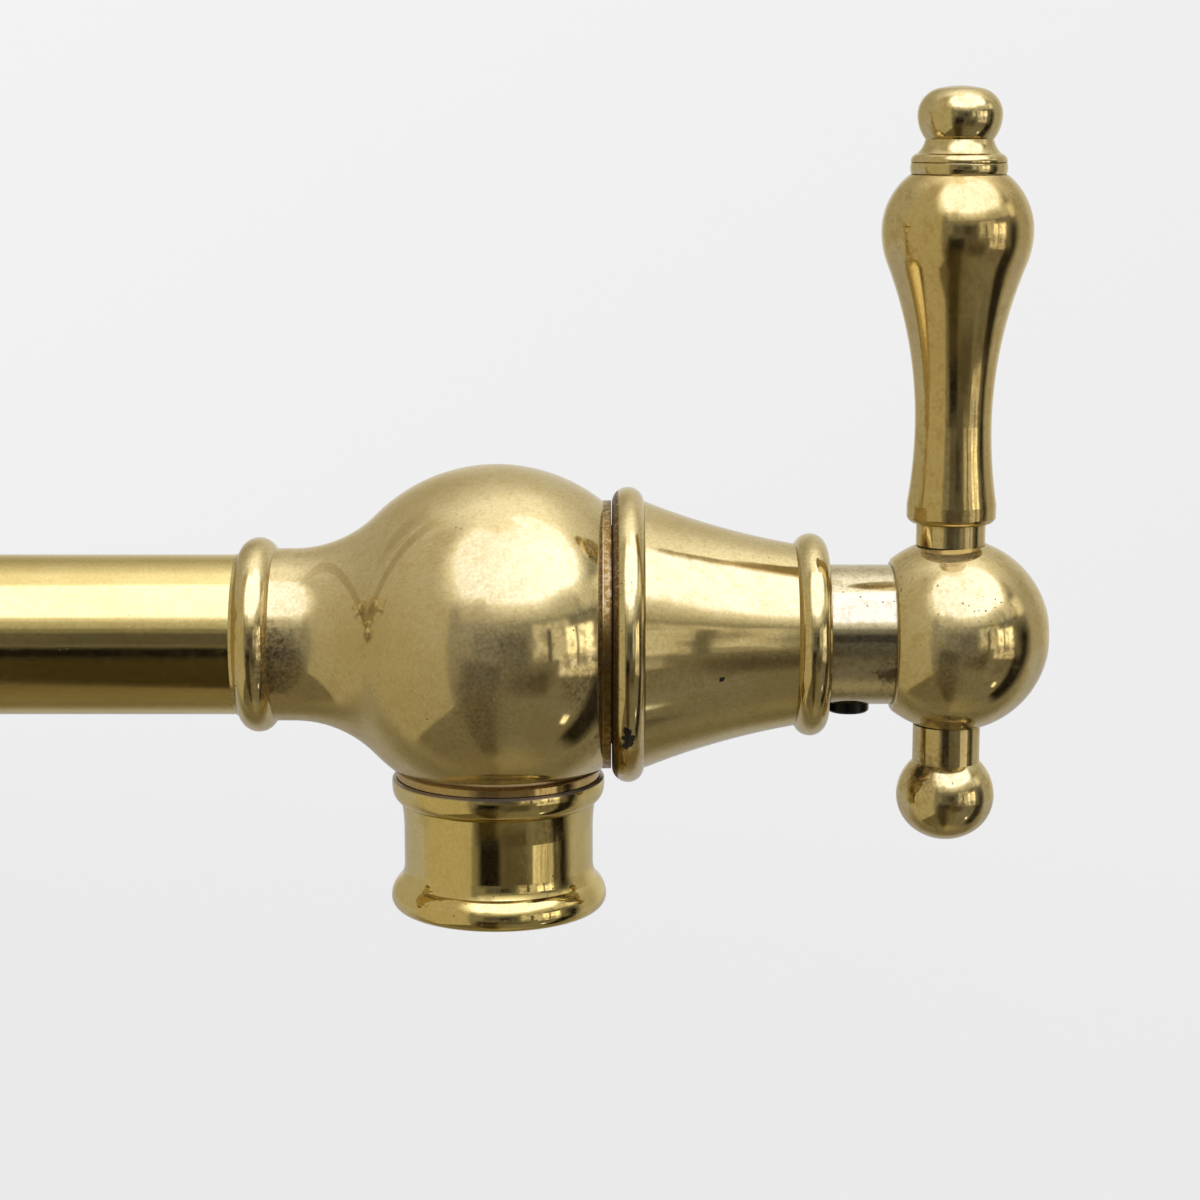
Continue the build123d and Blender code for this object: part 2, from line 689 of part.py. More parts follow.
def counter_finial():
    """Small ball on a neck below the hub, flattened underneath."""
    neck_z = COUNTER_BALL_Z - ball_reach(COUNTER_BALL_R, COUNTER_NECK_R)
    neck = (COUNTER_NECK_R, -neck_z)
    widest = (COUNTER_BALL_R, -COUNTER_BALL_Z)
    foot = (COUNTER_FOOT_R, -COUNTER_FOOT_Z)
    bottom = (0, -COUNTER_BOTTOM)
    return Pos(HUB_X, 0, 0) * turned([
        (*bottom, level_arc(bottom, foot)),
        (*foot, COUNTER_FLANK),
        (*widest, sagitta(COUNTER_BALL_R, widest, neck)),
        neck,
        (COUNTER_NECK_R, -HUB_FLAT),
        (STUD_R, -HUB_FLAT),
        (STUD_R, -HUB_FLAT + STUD_L),
        (0, -HUB_FLAT + STUD_L),
    ])


# ---- collars, with their visible upper edge at Z = 0 ----
def swivel_collar():
    return turned(collar_rows() + [
        (SWIVEL_BORE_R, COLLAR_THREAD_H),
        (SWIVEL_BORE_R, -COLLAR_H),
    ])


def outlet_collar():
    return turned(collar_rows() + [
        (WATERWAY_R, COLLAR_THREAD_H),
        (WATERWAY_R, -COLLAR_H + AERATOR_DEPTH),
        (AERATOR_THREAD_R, -COLLAR_H + AERATOR_DEPTH),
        (AERATOR_THREAD_R, -COLLAR_H),
    ])


def aerator_shell():
    foot = -COLLAR_H + AERATOR_RECESS
    top = foot + AERATOR_SHELL_H
    return turned([
        (AERATOR_SHELL_R, foot),
        (AERATOR_SHELL_R, top),
        (AERATOR_LEDGE_R, top),
        (AERATOR_LEDGE_R, top - AERATOR_LEDGE_H),
        (AERATOR_BORE_R, top - AERATOR_LEDGE_H),
        (AERATOR_BORE_R, foot),
    ])


def aerator_grille():
    """Moulded insert seen from below: rings joined by spokes."""
    foot = -COLLAR_H + AERATOR_RECESS + GRILLE_LIFT
    top = foot + GRILLE_H
    rim_r = AERATOR_BORE_R - SLIDE_GAP
    grille = ring(rim_r, rim_r - GRILLE_RIM_W, foot, top)
    for middle in GRILLE_RINGS:
        grille += ring(middle + GRILLE_RIB / 2, middle - GRILLE_RIB / 2, foot, top)
    spoke_l = rim_r - GRILLE_RIM_W / 2
    for i in range(GRILLE_SPOKES // 2):
        grille += (
            Rot(0, 0, i * 360 / GRILLE_SPOKES)
            * Pos(0, 0, (foot + top) / 2)
            * Box(2 * spoke_l, GRILLE_RIB, GRILLE_H)
        )
    return grille


def aerator_mixer():
    """Flow disc above the grille, with a ring of small jets."""
    foot = -COLLAR_H + AERATOR_RECESS + GRILLE_LIFT + GRILLE_H
    disc = rod(AERATOR_BORE_R - SLIDE_GAP, foot, foot + MIXER_H)
    for i in range(MIXER_HOLES):
        disc -= (
            Rot(0, 0, i * 360 / MIXER_HOLES)
            * Pos(MIXER_PITCH_R, 0, 0)
            * rod(MIXER_HOLE_R, foot, foot + MIXER_H)
        )
    return disc


def outlet_washer():
    foot = -COLLAR_H + AERATOR_RECESS + AERATOR_SHELL_H
    return ring(AERATOR_SHELL_R, WATERWAY_R, foot, foot + OUTLET_WASHER_H)


# ---- swivel pieces, also measured from the collar's upper edge ----
def swivel_spigot():
    """Hollow pin from the knuckle up through the collar, grooved for its rings."""
    knuckle_face = -COLLAR_H - SWIVEL_GAP - WASHER_H
    rows = [
        (SWIVEL_ROOT_R, knuckle_face - SWIVEL_ROOT_DEPTH),
        (SWIVEL_ROOT_R, knuckle_face),
        (SWIVEL_SPIGOT_R, knuckle_face),
    ]
    for drop in reversed(RING_DROPS):
        low = -drop - RING_GROOVE_W / 2
        high = -drop + RING_GROOVE_W / 2
        rows += [
            (SWIVEL_SPIGOT_R, low),
            (RING_GROOVE_R, low),
            (RING_GROOVE_R, high),
            (SWIVEL_SPIGOT_R, high),
        ]
    clip_foot = COLLAR_THREAD_H + SWIVEL_GAP
    rows += [
        (SWIVEL_SPIGOT_R, clip_foot),
        (CIRCLIP_GROOVE_R, clip_foot),
        (CIRCLIP_GROOVE_R, clip_foot + CIRCLIP_H),
        (SWIVEL_SPIGOT_R, clip_foot + CIRCLIP_H),
        (SWIVEL_SPIGOT_R, COLLAR_THREAD_H + SWIVEL_HEAD),
        (SWIVEL_WATER_R, COLLAR_THREAD_H + SWIVEL_HEAD),
        (SWIVEL_WATER_R, knuckle_face - SWIVEL_ROOT_DEPTH),
    ]
    return turned(rows)


def swivel_rings():
    section = (SWIVEL_SPIGOT_R - RING_GROOVE_R) / 2
    rings = [
        Pos(0, 0, -drop) * Torus(RING_GROOVE_R + section, section) for drop in RING_DROPS
    ]
    return Compound(children=rings)


def swivel_circlip():
    foot = COLLAR_THREAD_H + SWIVEL_GAP
    clip = ring(CIRCLIP_R, CIRCLIP_GROOVE_R, foot, foot + CIRCLIP_H)
    gap = Pos(CIRCLIP_R, 0, foot + CIRCLIP_H / 2) * Box(CIRCLIP_R, CIRCLIP_OPENING, CIRCLIP_H)
    return clip - gap


def swivel_washer():
    foot = -COLLAR_H - SWIVEL_GAP - WASHER_H
    return ring(WASHER_R, SWIVEL_SPIGOT_R + SLIDE_GAP, foot, foot + WASHER_H)


# ---- knuckles, about their ball's centre ----
def knuckle_ball():
    """Ball with its neck along -X and a spot face for the cap above."""
    pole = (0, KNUCKLE_R)
    rows = neck_rows(KNUCKLE_R, KNUCKLE_COVE_R, pole)
    ball = turned_along_x(rows + [pole, (0, rows[0][1])])
    size = 4 * seam_distance(KNUCKLE_R, KNUCKLE_COVE_R)
    return ball & Pos(0, 0, CAP_SEAT - size / 2) * Box(size, size, size)


def knuckle_waterway():
    reach = seam_distance(KNUCKLE_R, KNUCKLE_COVE_R) + SPIGOT_LENGTH
    side = Rot(0, -90, 0) * rod(WATERWAY_R, 0, reach)
    cap_thread = rod(CAP_STEM_R + THREAD_GAP, 0, CAP_SEAT)
    return side + cap_thread


def end_knuckle():
    """Knuckle at the far end of the inner arm: its boss holds the swivel collar."""
    ball = knuckle_ball() + boss(KNUCKLE_R, KNUCKLE_BOSS_DROP, KNUCKLE_BOSS_ROOT)
    bore = boss_bore(KNUCKLE_R, KNUCKLE_BOSS_DROP, KNUCKLE_CHAMBER_TOP)
    return ball - knuckle_waterway() - bore


def root_knuckle():
    """Knuckle at the near end of an arm: it carries the swivel's spigot, arm along +X."""
    cove_r = KNUCKLE_WAIST_R + KNUCKLE_COVE_W
    post = turned([
        (0, -KNUCKLE_FACE),
        *foot_bead_rows(-KNUCKLE_FACE, KNUCKLE_CREASE_R),
        (KNUCKLE_WAIST_R, -KNUCKLE_WAIST_Z, -KNUCKLE_COVE_HOLLOW),
        (cove_r, -ball_reach(KNUCKLE_R, cove_r) + SINK),
        (0, -KNUCKLE_R / 2),
    ])
    root = rod(SWIVEL_ROOT_R + BRAZE_GAP, -KNUCKLE_FACE, -KNUCKLE_FACE + SWIVEL_ROOT_DEPTH)
    chamber = rod(KNUCKLE_CHAMBER_R, -KNUCKLE_FACE, KNUCKLE_CHAMBER_TOP)
    knuckle = knuckle_ball() + post - knuckle_waterway() - root - chamber
    return Rot(180, 0, 0) * Rot(0, 0, 180) * knuckle


def knuckle_cap():
    """Domed plug with a ring, screwed into a knuckle's spot face."""
    rim = (CAP_RIM_R, CAP_SEAT + CAP_RING_H)
    top = (0, rim[1] + CAP_DOME_H)
    return turned([
        (0, CAP_SEAT - CAP_STEM_L),
        (CAP_STEM_R, CAP_SEAT - CAP_STEM_L),
        (CAP_STEM_R, CAP_SEAT),
        (CAP_RING_FOOT_R, CAP_SEAT, CAP_RING_ROUND),
        (*rim, level_arc(rim, top)),
        top,
    ])


# ---- wall end, with outlines running out of the wall ----
def arm_tube(length):
    return ring(TUBE_R, TUBE_BORE_R, 0, length)


def wall_nipple():
    return turned([
        (NIPPLE_THREAD_R, -NIPPLE_THREAD_L),
        (NIPPLE_THREAD_R, 0),
        (TUBE_R, 0),
        (TUBE_R, SHANK_END),
        (TUBE_BORE_R - BRAZE_GAP, SHANK_END),
        (TUBE_BORE_R - BRAZE_GAP, SHANK_END + NIPPLE_SPIGOT_L),
        (WATERWAY_R, SHANK_END + NIPPLE_SPIGOT_L),
        (WATERWAY_R, -NIPPLE_THREAD_L),
    ])


def wall_flange():
    """Hollow stepped cover with an ogee face, held on the shank by a set screw."""
    flange = turned([
        (FLANGE_RIM_R, 0),
        (FLANGE_R, 0, FLANGE_EDGE_ROUND),
        (FLANGE_R, FLANGE_EDGE),
        (FLANGE_STEP_R, FLANGE_STEP_H, FLANGE_STEP_ROUND),
        (FLANGE_OGEE_R, FLANGE_OGEE_H, -FLANGE_OGEE_HOLLOW),
        (FLANGE_HUB_R, FLANGE_HUB_START, FLANGE_BEAD_R - FLANGE_HUB_R),
        (FLANGE_TOP_R, FLANGE_H),
        (FLANGE_BORE_R, FLANGE_H),
        (FLANGE_BORE_R, FLANGE_HUB_START - FLANGE_WALL),
        (FLANGE_HUB_R, FLANGE_HUB_START - FLANGE_WALL - END_GAP),
        (FLANGE_OGEE_R - END_GAP, FLANGE_OGEE_H - FLANGE_WALL),
        (FLANGE_RIM_R, FLANGE_RIM_H),
    ])
    hole_r = FLANGE_GRUB_R + SLIDE_GAP
    hole = Pos(0, 0, FLANGE_GRUB_Z) * Rot(90, 0, 0) * rod(hole_r, 0, FLANGE_R)
    return flange - hole


def flange_grub_screw():
    """Points up at the shank from the flange's underside."""
    tip = TUBE_R + SLIDE_GAP
    return Pos(0, -FLANGE_GRUB_Z, 0) * grub_screw(FLANGE_GRUB_R, FLANGE_GRUB_FACE, tip)


# ---- where everything goes ----
VALVE_COLLAR_Z = -VALVE_BOSS_DROP - COLLAR_GAP
KNUCKLE_COLLAR_Z = -KNUCKLE_BOSS_DROP - COLLAR_GAP
SWIVEL_DROP = COLLAR_H + SWIVEL_GAP + WASHER_H + KNUCKLE_FACE
INNER_Z = VALVE_COLLAR_Z - SWIVEL_DROP
OUTER_Z = INNER_Z + KNUCKLE_COLLAR_Z - SWIVEL_DROP
VALVE_SEAM = seam_distance(BALL_R, BALL_COVE_R)
KNUCKLE_SEAM = seam_distance(KNUCKLE_R, KNUCKLE_COVE_R)

OUT_OF_WALL = Rot(90, 0, 0)
WALL_PIVOT = Pos(0, -WALL_TO_PIVOT, 0)
WALL_VALVE = WALL_PIVOT * Rot(0, 0, -90)
INNER_ROOT = Pos(0, -WALL_TO_PIVOT, INNER_Z)
INNER_END = Pos(ARM_LENGTH, -WALL_TO_PIVOT, INNER_Z)
OUTER_ROOT = Pos(ARM_LENGTH, -WALL_TO_PIVOT, OUTER_Z)
SPOUT = Pos(2 * ARM_LENGTH, -WALL_TO_PIVOT, OUTER_Z)


def valve(prefix, place):
    """The pieces that both valves share, by name."""
    makers = {
        "body": valve_body,
        "bonnet": bonnet,
        "cartridge_body": cartridge_body,
        "bottom_seal": bottom_seal,
        "fixed_disc": fixed_disc,
        "moving_disc": moving_disc,
        "spindle": spindle,
        "spindle_o_rings": spindle_rings,
        "handle_sleeve": handle_sleeve,
        "handle_grub_screw": handle_grub_screw,
        "hub_ball": hub_ball,
        "lever_stem": lever_stem,
        "lever_grip": lever_grip,
        "lever_cap": lever_cap,
        "counter_finial": counter_finial,
    }
    return {f"{prefix}_{name}": place * make() for name, make in makers.items()}


def swivel(upper, lower, place):
    """A swivel hung from a boss: the collar stays above, the rest turns with the arm below."""
    return {
        f"{upper}_swivel_collar": place * swivel_collar(),
        f"{lower}_swivel_spigot": place * swivel_spigot(),
        f"{lower}_swivel_o_rings": place * swivel_rings(),
        f"{lower}_swivel_circlip": place * swivel_circlip(),
        f"{lower}_swivel_washer": place * swivel_washer(),
    }


def wall_end():
    shank_l = WALL_TO_PIVOT - VALVE_SEAM - SHANK_END
    shank = Pos(0, 0, SHANK_END) * arm_tube(shank_l)
    return {
        "wall_flange": OUT_OF_WALL * wall_flange(),
        "flange_grub_screw": flange_grub_screw(),
        "wall_nipple": OUT_OF_WALL * wall_nipple(),
        "wall_shank": OUT_OF_WALL * shank,
    }


def inner_arm():
    tube = Pos(KNUCKLE_SEAM, 0, 0) * Rot(0, 90, 0) * arm_tube(ARM_LENGTH - 2 * KNUCKLE_SEAM)
    return {
        "inner_root_knuckle": INNER_ROOT * root_knuckle(),
        "inner_root_cap": INNER_ROOT * Rot(180, 0, 0) * knuckle_cap(),
        "inner_arm_tube": INNER_ROOT * tube,
        "inner_end_knuckle": INNER_END * end_knuckle(),
        "inner_end_cap": INNER_END * knuckle_cap(),
    }


def outer_arm():
    length = ARM_LENGTH - KNUCKLE_SEAM - VALVE_SEAM
    tube = Pos(KNUCKLE_SEAM, 0, 0) * Rot(0, 90, 0) * arm_tube(length)
    return {
        "outer_root_knuckle": OUTER_ROOT * root_knuckle(),
        "outer_root_cap": OUTER_ROOT * Rot(180, 0, 0) * knuckle_cap(),
        "outer_arm_tube": OUTER_ROOT * tube,
    }


def outlet():
    place = SPOUT * Pos(0, 0, VALVE_COLLAR_Z)
    return {
        "outlet_collar": place * outlet_collar(),
        "outlet_washer": place * outlet_washer(),
        "aerator_shell": place * aerator_shell(),
        "aerator_grille": place * aerator_grille(),
        "aerator_mixer": place * aerator_mixer(),
    }


pieces = {
    **wall_end(),
    **valve("wall", WALL_VALVE),
    **swivel("wall", "inner", WALL_PIVOT * Pos(0, 0, VALVE_COLLAR_Z)),
    **inner_arm(),
    **swivel("elbow", "outer", INNER_END * Pos(0, 0, KNUCKLE_COLLAR_Z)),
    **outer_arm(),
    **valve("spout", SPOUT),
    **outlet(),
}

os.makedirs("parts", exist_ok=True)
for name, piece in pieces.items():
    export_step(piece, f"parts/{name}.step")
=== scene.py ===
import json
from math import radians

import bpy
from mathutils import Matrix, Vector


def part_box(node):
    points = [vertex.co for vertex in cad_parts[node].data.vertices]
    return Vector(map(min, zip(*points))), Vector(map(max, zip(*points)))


# Wall mounted pot filler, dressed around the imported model. Lengths are in metres in
# the row's frame, unless a name ends in _MM. Angles are in degrees, colours linear.
#
# The photograph looks along +Y at the spout end of the outer arm, with the arm
# coming in from the left, so the camera and the studio are placed around the
# centre of the spout's ball.

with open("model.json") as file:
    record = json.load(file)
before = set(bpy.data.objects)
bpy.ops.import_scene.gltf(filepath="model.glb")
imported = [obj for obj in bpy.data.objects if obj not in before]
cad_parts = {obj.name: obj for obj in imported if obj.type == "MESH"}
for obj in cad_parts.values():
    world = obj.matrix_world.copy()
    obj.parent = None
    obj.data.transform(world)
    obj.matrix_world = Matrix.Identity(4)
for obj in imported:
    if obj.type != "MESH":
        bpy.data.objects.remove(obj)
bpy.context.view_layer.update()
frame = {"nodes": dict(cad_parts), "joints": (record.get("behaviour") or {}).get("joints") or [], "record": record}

MM = 0.001
joints = {joint["name"]: joint for joint in frame["joints"]}
SPOUT = Vector(joints["spout_lever_turn"]["pos_m"])
WALL_VALVE = Vector(joints["wall_lever_turn"]["pos_m"])
# each valve as the centre of its ball and the way its bonnet points
VALVES = ((SPOUT, Vector((1, 0, 0))), (WALL_VALVE, Vector((0, -1, 0))))

# ---- camera: a little above the spout, looking down at it ----
CAMERA_OFFSET = Vector((14.1, -364.8, 69.1)) * MM
CAMERA_PITCH = 10.0
CAMERA_LENS_MM = 81.0
CAMERA_SENSOR_MM = 36.0
CAMERA_CLIP = 0.01

# ---- backdrop as the camera sees it: level and straight ahead, and its change to each side ----
BACKDROP = 0.875
BACKDROP_UPWARDS = 0.10
BACKDROP_RIGHTWARDS = -0.06

# ---- floor ----
FLOOR_DROP = 0.40              # spout's ball to the floor
FLOOR_FRONT = 0.05
FLOOR_FRONT_FADE = 0.30
FLOOR_REACH = 3.0
FLOOR_EDGE = (0.4, 0.95)       # shares of its reach between which it fades out
FLOOR_DARK = (0.520, 0.515, 0.500)
FLOOR_LIGHT = (0.545, 0.540, 0.525)
FLOOR_GRAIN = 40.0             # per metre
FLOOR_GLOW = (0.912, 0.908, 0.898)
GLOW_SHARE = 0.75              # of the floor that the camera sees, as a colour without shading
DIFFUSE_SHARE = 0.75           # of the studio's light, so that the floor isn't overlit

# ---- brass: the tones of its finishes, each with the stain that mottles it ----
AGED = (0.640, 0.540, 0.300)
AGED_STAIN = (0.470, 0.340, 0.115)
GOLDEN = (0.675, 0.548, 0.245)
GOLDEN_STAIN = (0.525, 0.385, 0.125)
GRIP = (0.610, 0.495, 0.235)
GRIP_STAIN = (0.460, 0.310, 0.110)
PALE = (0.640, 0.570, 0.390)
PALE_STAIN = (0.400, 0.320, 0.180)
RAW = (0.680, 0.520, 0.230)
BRASS_EDGE = (0.88, 0.85, 0.78)
# dark grime mixed with painted shade, laid in the creases
CREASE_GRIME_AND_SHADE = (0.070, 0.038, 0.012)
HAZE_ROUGHNESS = 0.68
PEEL_MM = 0.016                # height of the slow waves in its polish
BRUSHED_MM = 0.004
PIT_MM = 0.03
SCRATCH_MM = 0.002

# ---- coats on the brass, as colour, roughness and metallic ----
BROWN = (0.100, 0.055, 0.020)
AMBER = (0.400, 0.220, 0.050)
SOLDER = (0.300, 0.270, 0.270)
RUST_COAT = ((0.210, 0.115, 0.024), 0.35, 1.0)
# painted shade in the deepest ring of the groove between body and bonnet
GROOVE_SHADE_COAT = (BROWN, 0.5, 0.8)
RESIDUE_COAT = ((0.560, 0.480, 0.340), 0.8, 0.0)
SEAM_STAIN_COAT = (BROWN, 0.3, 0.8)
STAIN_COAT = (BROWN, 0.3, 0.9)
# painted reflection: the amber V-shaped trace on the spout's neck
PAINTED_REFLECTION_COAT = ((0.340, 0.235, 0.075), 0.10, 1.0)
FOOT_COAT = (AMBER, 0.12, 1.0)
BEAD_COAT = (AMBER, 0.25, 1.0)
CHIP_COAT = ((0.010, 0.008, 0.006), 0.25, 0.0)
LIP_COAT = (SOLDER, 0.35, 0.6)
RIM_COAT = (SOLDER, 0.3, 0.7)

# ---- places along a valve's axis, from the centre of its ball towards its bonnet ----
SEAM_MM = (14.5, 16.6)
# deepest ring of the groove, where shade is painted
SEAM_SHADE_MM = (15.4, 16.5)
TUBE_LIP_MM = (-37.2, -35.9)
SEAM_RADIUS_MM = 42.0          # all three lie this near to the centre
HAZE_START_MM = (-33.0, -28.0)

# ---- heights ----
RESIDUE_MM = (4.0, 11.0)       # above the spout's ball: the residue sets in between these
FOOT_MM = (-23.6, -17.6)       # from a valve's ball
COLLAR_THREAD_MM = 5.0         # a collar's thread stands this far above its upper edge
RIM_BELOW_MM = 0.35
RIM_ABOVE_MM = 0.4

# ---- marks on the spout's valve: places from the centre of its ball, each with a radius ----
CHIPS_MM = (((17.8, -17.7, -9.7), 0.70), ((17.9, -17.1, -10.7), 0.95),
            ((17.8, -16.4, -11.7), 0.80), ((30.3, -14.6, -3.4), 0.45))
BEAD_STAIN_MM = (((17.3, -14.5, -14.0), 3.2),)
SEAM_STAIN_MM = (((13.2, -19.0, -4.6), 4.6), ((14.3, -15.0, -12.0), 3.6))
SLEEVE_STAIN_MM = (((53.4, -8.6, -3.8), 2.6),)
NECK_STAIN_MM = (((-29.4, -11.8, 0.6), 4.2), ((-30.2, -11.3, -3.6), 3.2))
FINIAL_STAIN_MM = (((58.2, -4.0, -18.4), 3.4),)

# ---- painted reflection on the neck, drawn as a trace: its foot from the centre of the ball, the rest from that foot ----
REFLECTION_FOOT_MM = (-16.9, -15.7, 3.7)
REFLECTION_RISE_MM = 16.5           # what both curves on the right climb towards
LONG_CURVE_MM = (0.0, 5.2)     # start, and the width in which it climbs 63 % of the way
SHORT_CURVE_MM = (-1.3, 4.5)
LONG_SPAN_MM = (-8.6, 9.5, 4.0)    # from, to, and the width of its soft ends
SHORT_SPAN_MM = (2.2, 8.0, 3.0)
ARCH_TOP_MM = (-5.6, 6.8)
ARCH_BEND = 0.17               # its drop is this times the square of the way from its top
REFLECTION_WIDTH_MM = 0.65
FOOT_WIDTH_MM = 0.6            # added at the foot
FOOT_TAPER = 0.33              # per mm
REFLECTION_DEPTH_MM = (10.0, 14.0)  # it fades out between these depths


class Graph:
    """A shader's node tree, with short calls for the nodes used here."""

    def __init__(self, tree):
        self.tree = tree
        tree.nodes.clear()

    def node(self, kind, **settings):
        node = self.tree.nodes.new(kind)
        for name, value in settings.items():
            setattr(node, name, value)
        return node

    def put(self, socket, value):
        """Link a socket, or write a number or colour into it."""
        if isinstance(value, bpy.types.NodeSocket):
            self.tree.links.new(value, socket)
        elif hasattr(value, "__len__") and len(value) == 3 and len(socket.default_value) == 4:
            socket.default_value = (*value, 1)
        else:
            socket.default_value = value

    def math(self, operation, first, second=0.0, third=0.0, clamp=False):
        node = self.node("ShaderNodeMath", operation=operation, use_clamp=clamp)
        for socket, value in zip(node.inputs, (first, second, third)):
            self.put(socket, value)
        return node.outputs[0]

    def combined(self, operation, values):
        """One number out of several, taken one after the other."""
        result, *others = values
        for value in others:
            result = self.math(operation, result, value)
        return result

    def product(self, *factors):
        return self.combined("MULTIPLY", factors)

    def greatest(self, masks):
        return self.combined("MAXIMUM", masks)

    def gap(self, first, second):
        """How far two numbers are apart."""
        return self.math("ABSOLUTE", self.math("SUBTRACT", first, second))

    def vector(self, operation, first, second=(0, 0, 0)):
        node = self.node("ShaderNodeVectorMath", operation=operation)
        self.put(node.inputs[0], first)
        self.put(node.inputs[1], second)
        return node.outputs["Value" if operation in ("DOT_PRODUCT", "LENGTH") else "Vector"]

    def axes(self, vector):
        """The three numbers of a vector or colour."""
        node = self.node("ShaderNodeSeparateXYZ")
        self.put(node.inputs[0], vector)
        return node.outputs

    def ramp(self, value, low, high, start=0.0, end=1.0):
        """Smooth step from start at low to end at high."""
        node = self.node("ShaderNodeMapRange", interpolation_type="SMOOTHSTEP")
        for name, number in (("Value", value), ("From Min", low), ("From Max", high),
                             ("To Min", start), ("To Max", end)):
            self.put(node.inputs[name], number)
        return node.outputs["Result"]

    def band(self, value, low, high, soft):
        """1 between low and high, with edges as wide as soft that are centred on them."""
        rise = self.ramp(value, low - soft / 2, low + soft / 2)
        fall = self.ramp(value, high - soft / 2, high + soft / 2, 1.0, 0.0)
        return self.product(rise, fall)

    def mix(self, factor, first, second):
        node = self.node("ShaderNodeMix", data_type="RGBA")
        self.put(node.inputs[0], factor)
        self.put(node.inputs[6], first)
        self.put(node.inputs[7], second)
        return node.outputs[2]

    def noise(self, vector, scale, detail=3.0, roughness=0.55):
        node = self.node("ShaderNodeTexNoise")
        self.put(node.inputs["Vector"], vector)
        self.put(node.inputs["Scale"], scale)
        self.put(node.inputs["Detail"], detail)
        self.put(node.inputs["Roughness"], roughness)
        return node.outputs["Fac"]

    def cells(self, vector, scale):
        """Distance to the nearest of scattered points, and that point's random number."""
        node = self.node("ShaderNodeTexVoronoi")
        self.put(node.inputs["Vector"], vector)
        self.put(node.inputs["Scale"], scale)
        return node.outputs["Distance"], self.axes(node.outputs["Color"])[0]

    def stretched(self, vector, scales):
        return self.vector("MULTIPLY", vector, scales)

    def turned(self, vector, angles):
        node = self.node("ShaderNodeVectorRotate", rotation_type="EULER_XYZ")
        self.put(node.inputs["Vector"], vector)
        self.put(node.inputs["Rotation"], [radians(angle) for angle in angles])
        return node.outputs[0]


def place_in_mm(graph):
    """A point's place on the resting object, in millimetres."""
    here = graph.node("ShaderNodeTexCoord").outputs["Object"]
    return graph.stretched(here, (1 / MM, 1 / MM, 1 / MM))


def from_point(graph, place, point):
    return graph.vector("SUBTRACT", place, Vector(point) / MM)


def principled(graph, colour, metallic, roughness, height, edge=None):
    """The surface shader; height is the relief in millimetres, edge the tint at its rim."""
    shader = graph.node("ShaderNodeBsdfPrincipled")
    graph.put(shader.inputs["Base Color"], colour)
    graph.put(shader.inputs["Metallic"], metallic)
    graph.put(shader.inputs["Roughness"], roughness)
    if edge:
        graph.put(shader.inputs["Specular Tint"], edge)
    bump = graph.node("ShaderNodeBump")
    bump.inputs["Distance"].default_value = MM
    graph.put(bump.inputs["Height"], height)
    graph.put(shader.inputs["Normal"], bump.outputs[0])
    output = graph.node("ShaderNodeOutputMaterial")
    graph.put(output.inputs["Surface"], shader.outputs[0])


def new_material(name):
    material = bpy.data.materials.new(name)
    material.use_nodes = True
    return material, Graph(material.node_tree)


# ---- where brass is worn, dirty or marked, and where painted shade and a painted reflection lie: each is a mask, 1 where it is so ----
def crevices(graph, reach_mm, low, high):
    """1 deep in a crease, 0 in the open."""
    shade = graph.node("ShaderNodeAmbientOcclusion", samples=8)
    shade.inputs["Distance"].default_value = reach_mm * MM
    return graph.ramp(shade.outputs["AO"], low, high, 1.0, 0.0)


# grime with painted shade: dark where occlusion finds a crease
def grime_and_shade_in_creases(graph, place):
    ragged = graph.ramp(graph.noise(place, 0.7, 4.0), 0.30, 0.62)
    share = graph.math("MULTIPLY_ADD", ragged, 0.6, 0.30)
    return graph.product(crevices(graph, 1.6, 0.30, 0.80), share)


def pits(graph, place, per_mm, radius_mm, patch):
    """Tiny ragged pits, gathered in patches."""
    distance, size = graph.cells(place, per_mm)
    ragged = graph.math("MULTIPLY_ADD", graph.noise(place, 6.0, 2.0), 1.6, 0.2)
    reach = graph.product(size, ragged, radius_mm * per_mm)
    dot = graph.math("LESS_THAN", distance, reach)
    return graph.product(dot, graph.ramp(graph.noise(place, 0.11, 2.0), patch, patch + 0.06))


def hairlines(graph, place, angles, width, patch):
    """Fine long scratches running one way."""
    lengthwise = graph.stretched(graph.turned(place, angles), (0.05, 1.2, 1.2))
    line = graph.math("COMPARE", graph.noise(lengthwise, 1.0, 2.0, 0.4), 0.5, width)
    return graph.product(line, graph.ramp(graph.noise(place, 0.16, 1.0), patch, patch + 0.1))


def matt_grains(graph, place, patches, haze, hazier):
    """Haze: grains too fine to see, on a share of the surface that varies around haze."""
    grains = graph.node("ShaderNodeTexWhiteNoise")
    graph.put(grains.inputs["Vector"], place)
    share = graph.ramp(patches, 0.3, 0.7, haze * 0.75, haze * 1.25)
    if hazier:
        where, added = hazier
        share = graph.math("MULTIPLY_ADD", where(graph, place), added, share)
    speckle = graph.ramp(graph.noise(place, 2.4, 4.0, 0.75), 0.34, 0.66, 0.70, 1.30)
    return graph.math("LESS_THAN", grains.outputs["Value"], graph.product(share, speckle))


def on_valves(graph, place, radius_mm, shape):
    """The greatest of shape(distance along the axis) on both valves, within a radius."""
    found = []
    for centre, axis in VALVES:
        local = from_point(graph, place, centre)
        near = graph.math("LESS_THAN", graph.vector("LENGTH", local), radius_mm)
        found.append(graph.product(shape(graph.vector("DOT_PRODUCT", local, axis)), near))
    return graph.greatest(found)


def seam_rings(graph, place, limits_mm):
    """Rings around both valves' axes, between two places along them."""
    return on_valves(graph, place, SEAM_RADIUS_MM,
                     lambda along: graph.band(along, *limits_mm, 0.3))


